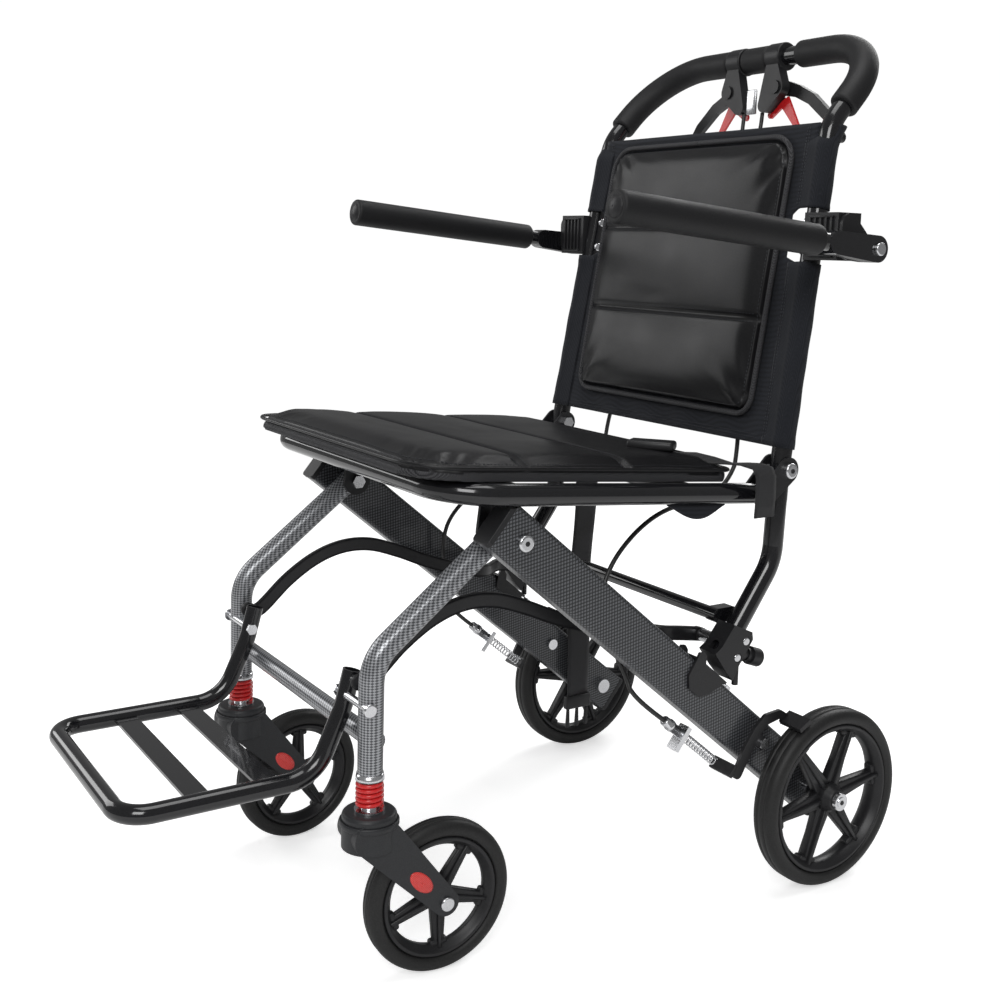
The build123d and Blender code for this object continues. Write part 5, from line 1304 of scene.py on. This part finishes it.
@dataclass
class ArchedLinks:
    """The two flat links, each one smooth arch with a step outwards at its rear end."""

    wide: float = 0.015
    thick: float = 0.005
    front_x: float = 0.137
    rear_x: float = 0.1685
    step_y: tuple[float, float] = (0.100, 0.150)

    def build(self) -> None:
        """Make both links."""
        arch = [(-0.205, 0.290), (-0.191, 0.290), (-0.158, 0.319), (-0.124, 0.340), (-0.090, 0.350),
                (-0.055, 0.349), (-0.018, 0.337), (0.020, 0.321), (0.060, 0.308), (0.100, 0.299),
                (0.150, 0.294), (0.193, 0.287)]
        for name, side in SIDES:
            points = [Vector((side * self._x(y), y, z)) for y, z in self._smooth(arch)]
            tangents = [(b - a).normalized() for a, b in zip(points, points[1:])]
            tangents.append(tangents[-1])
            across = [Vector((0, -t.z, t.y)).normalized() for t in tangents]
            bm = ribbon(points, across, self.wide, self.thick)
            for y, z, x in ((-0.205, 0.290, self.front_x), (0.193, 0.287, self.rear_x)):
                eye = bmesh.new()
                half = self.thick / 2
                lathe(eye, [(-half, 0.0003), (half, 0.0003), (half, 0.0068), (half - 0.0006, 0.0075),
                            (-half + 0.0006, 0.0075), (-half, 0.0068)], 40)
                bmesh.ops.transform(eye, matrix=Matrix.Translation((side * x, y, z)), verts=eye.verts)
                held = bpy.data.meshes.new("eye")
                eye.to_mesh(held)
                eye.free()
                bm.from_mesh(held)
                bpy.data.meshes.remove(held)
            link = make_object(f"arched_link_{name}", bm, SATIN_BLACK)
            modifier(link, "BEVEL", width=0.0008, segments=2, limit_method="ANGLE", angle_limit=math.radians(50))
            hand_over(link, "link_bars", SATIN_BLACK, "links")

    def _x(self, y: float) -> float:
        """How far out the link's middle lies at a place along it."""
        part = max(0.0, min(1.0, (y - self.step_y[0]) / (self.step_y[1] - self.step_y[0])))
        return self.front_x + (self.rear_x - self.front_x) * part * part * (3 - 2 * part)

    @staticmethod
    def _smooth(corners: Sequence[tuple[float, float]], steps: int = 8) -> list[tuple[float, float]]:
        """A curve that passes softly through the corners."""
        spots = [Vector(c) for c in corners]
        spots = [spots[0]] + spots + [spots[-1]]
        curve = []
        for before, start, end, after in zip(spots, spots[1:], spots[2:], spots[3:]):
            for k in range(steps):
                t = k / steps
                spot = 0.5 * (2 * start + (end - before) * t + (2 * before - 5 * start + 4 * end - after) * t * t
                              + (3 * start - before - 3 * end + after) * t ** 3)
                curve.append((spot.x, spot.y))
        curve.append(tuple(spots[-1]))
        return curve


@dataclass
class HardTrim:
    """Ribs, ferrules, rings and the painted shade of screw sockets that the plain machine parts leave out."""

    def build(self) -> None:
        """Make every small hard piece."""
        for name, side in SIDES:
            self._bracket_ribs(name, side)
            self._ferrule(name, side)
            self._collar(name, side)
            self._socket_shade(name, side)
        self._lever_face()

    def _bracket_ribs(self, name: str, side: float) -> None:
        """Moulded ribs on the armrest bracket's front and top."""
        low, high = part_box("armrest_brackets")
        bm = bmesh.new()
        y0 = 0.2855
        for k in range(5):
            x = side * (0.2065 + 0.0075 * k)
            bevelled_block(bm, (0.0022, 0.0030, 0.042), Matrix.Translation((x, y0, 0.719)), 0.0007)
        bevelled_block(bm, (0.034, 0.0030, 0.0026), Matrix.Translation((side * 0.2215, y0, 0.7395)), 0.0007)
        bevelled_block(bm, (0.034, 0.0030, 0.0026), Matrix.Translation((side * 0.2215, y0, 0.6985)), 0.0007)
        hand_over(make_object(f"armrest_ribs_{name}", bm, PLASTIC), "back_frame", PLASTIC)

    def _ferrule(self, name: str, side: float) -> None:
        """The bright adjuster on each cable stop."""
        start, end = on_beam(side * 0.192, 0.2835, -0.0435), on_beam(side * 0.192, 0.3128, -0.0435)
        spots = [start.lerp(end, part) for part in (0.0, 0.03, 0.30, 0.31, 0.46, 0.47, 0.94, 1.0)]
        radii = [0.0046, 0.0054, 0.0054, 0.0064, 0.0064, 0.0054, 0.0054, 0.0046]
        bm = swept_bar(spots, radii, 24)
        hand_over(make_object(f"cable_adjuster_{name}", bm, ZINC), "beams", ZINC)

    def _collar(self, name: str, side: float) -> None:
        """The bright collar above each caster spring."""
        bm = bmesh.new()
        ring = [(0.2108, 0.0120), (0.2108, 0.0127), (0.2060, 0.0136), (0.2042, 0.0136), (0.2042, 0.0086),
                (0.2060, 0.0086)]
        lathe(bm, ring, 48)
        place = Matrix.Translation((side * 0.160, -0.203, 0)) @ Matrix.Rotation(-math.pi / 2, 4, "Y")
        bmesh.ops.transform(bm, matrix=place, verts=bm.verts)
        hand_over(make_object(f"spring_collar_{name}", bm, ZINC), "front_frame", ZINC)

    def _socket_shade(self, name: str, side: float) -> None:
        """Painted shade for the hexagon sockets: flat dark hexagons raised on the side bolts' heads."""
        spots = {"seat_frame": [Vector((side * 0.2108, -0.068, 0.423)), Vector((side * 0.2233, 0.263, 0.470))],
                 "beams": [on_beam(side * 0.2592, 0.5126, 0.0)]}
        for body, places in spots.items():
            # painted shade: a dark plastic hexagon on each bolt head stands in for its shaded socket
            bm = bmesh.new()
            for spot in places:
                bmesh.ops.create_circle(bm, cap_ends=True, segments=6, radius=0.0027,
                                        matrix=Matrix.Translation(spot) @ Matrix.Rotation(math.pi / 2, 4, "Y"))
            grown = bmesh.ops.extrude_face_region(bm, geom=bm.faces[:])["geom"]
            moved = [part for part in grown if isinstance(part, bmesh.types.BMVert)]
            bmesh.ops.translate(bm, vec=(side * 0.0003, 0, 0), verts=moved)
            hand_over(make_object(f"bolt_socket_shade_{body}_{name}", bm, PLASTIC, smooth=False), body, PLASTIC)

    def _lever_face(self) -> None:
        """The grey satin plate between the two lever bodies."""
        bar = handle_point(0.132, 0.0)
        bm = bmesh.new()
        bevelled_block(bm, (0.016, 0.003, 0.030), Matrix.Translation((-0.011, 0.4005, bar.z - 0.052)), 0.001)
        hand_over(make_object("lever_name_plate", bm, ZINC), "back_frame", ZINC)


# ------------------------------------------------------------------------------------------ studio
@dataclass
class Studio:
    """The floor, the lights and the camera."""

    azimuth: float = math.radians(56.63)
    elevation: float = math.radians(6.71)
    roll: float = math.radians(1.62)
    place: tuple[float, float, float] = (1.168, -0.727, 0.694)
    lens: float = 45.70

    def build(self) -> None:
        """Make the camera first, then the floor and the lights."""
        self._camera()
        self._floor()
        self._lights()

    def _camera(self) -> None:
        """A camera from the front left, a little above the seat."""
        back = Vector((math.sin(self.azimuth) * math.cos(self.elevation),
                       -math.cos(self.azimuth) * math.cos(self.elevation), math.sin(self.elevation)))
        right = (-back).cross(Vector((0, 0, 1))).normalized()
        up = right.cross(-back)
        turned_right = right * math.cos(self.roll) + up * math.sin(self.roll)
        turned_up = up * math.cos(self.roll) - right * math.sin(self.roll)
        data = bpy.data.cameras.new("camera")
        data.sensor_width = 36.0
        data.sensor_fit = "HORIZONTAL"
        data.lens = self.lens
        data.shift_x = -0.0064
        data.shift_y = -0.0993
        data.clip_start = 0.02
        camera = bpy.data.objects.new("camera", data)
        turned = Matrix((turned_right, turned_up, back)).transposed().to_4x4()
        camera.matrix_world = Matrix.Translation(self.place) @ turned
        bpy.context.scene.collection.objects.link(camera)
        bpy.context.scene.camera = camera

    def _floor(self) -> None:
        """A wide plain pale floor."""
        bm = bmesh.new()
        bmesh.ops.create_circle(bm, cap_ends=True, segments=96, radius=2.4)
        mesh = bpy.data.meshes.new("floor")
        bm.to_mesh(mesh)
        bm.free()
        floor = bpy.data.objects.new("floor", mesh)
        bpy.context.scene.collection.objects.link(floor)
        paint = bpy.data.materials.new("pale_floor")
        paint.use_nodes = True
        shader = paint.node_tree.nodes["Principled BSDF"]
        shader.inputs["Base Color"].default_value = (0.93, 0.93, 0.93, 1.0)
        shader.inputs["Roughness"].default_value = 0.9
        shader.inputs["Emission Color"].default_value = (1.0, 1.0, 1.0, 1.0)
        nodes = Graph(paint.node_tree)
        seen = nodes.node("ShaderNodeLightPath", {}).outputs["Is Camera Ray"]
        nodes.put(shader.inputs["Emission Strength"], nodes.math("MULTIPLY", seen, 0.55))
        mesh.materials.append(paint)

    def _lights(self) -> None:
        """Soft boxes at both sides and above, in a white room."""
        world = bpy.data.worlds.new("white_room")
        world.use_nodes = True
        room = Graph(world.node_tree)
        seen = room.node("ShaderNodeLightPath", {}).outputs["Is Camera Ray"]
        backdrop = world.node_tree.nodes["Background"]
        backdrop.inputs["Color"].default_value = (1.0, 1.0, 1.0, 1.0)
        room.put(backdrop.inputs["Strength"], room.math("MULTIPLY_ADD", seen, 0.80, 0.22))
        bpy.context.scene.world = world
        bpy.context.scene.view_settings.view_transform = "Standard"
        boxes = (("key", (2.2, -1.9, 2.3), 1.5, 48.0), ("fill", (-2.4, -1.6, 1.6), 1.6, 22.0),
                 ("back", (-1.0, 2.6, 2.2), 1.6, 34.0), ("top", (0.2, 0.0, 3.2), 1.8, 30.0))
        for name, spot, size, power in boxes:
            data = bpy.data.lights.new(name, "AREA")
            data.shape = "SQUARE"
            data.size = size
            data.energy = power
            lamp = bpy.data.objects.new(name, data)
            aim = Vector((0.0, 0.0, 0.45)) - Vector(spot)
            lamp.matrix_world = Matrix.Translation(spot) @ aim.to_track_quat("-Z", "Y").to_matrix().to_4x4()
            bpy.context.scene.collection.objects.link(lamp)


def dress_nodes() -> None:
    """Give every machine part its finish."""
    for name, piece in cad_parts.items():
        finish = CAD_FINISHES.get(name)
        if finish is None:
            continue
        if not piece.material_slots:
            piece.data.materials.append(None)
        for slot in piece.material_slots:
            slot.material = finish.material()


def main() -> None:
    """Build the studio, then every sub-assembly in order."""
    logging.basicConfig(level=logging.INFO, format="%(name)s: %(message)s")
    Studio().build()
    dress_nodes()
    pad = SeatPad().build()
    BackRest().build()
    FoamGrips().build()
    Wheels().build()
    LapBelt().build(pad)
    Cables().build()
    ArchedLinks().build()
    Springs().build()
    HardTrim().build()


if __name__ == "__main__":
    main()
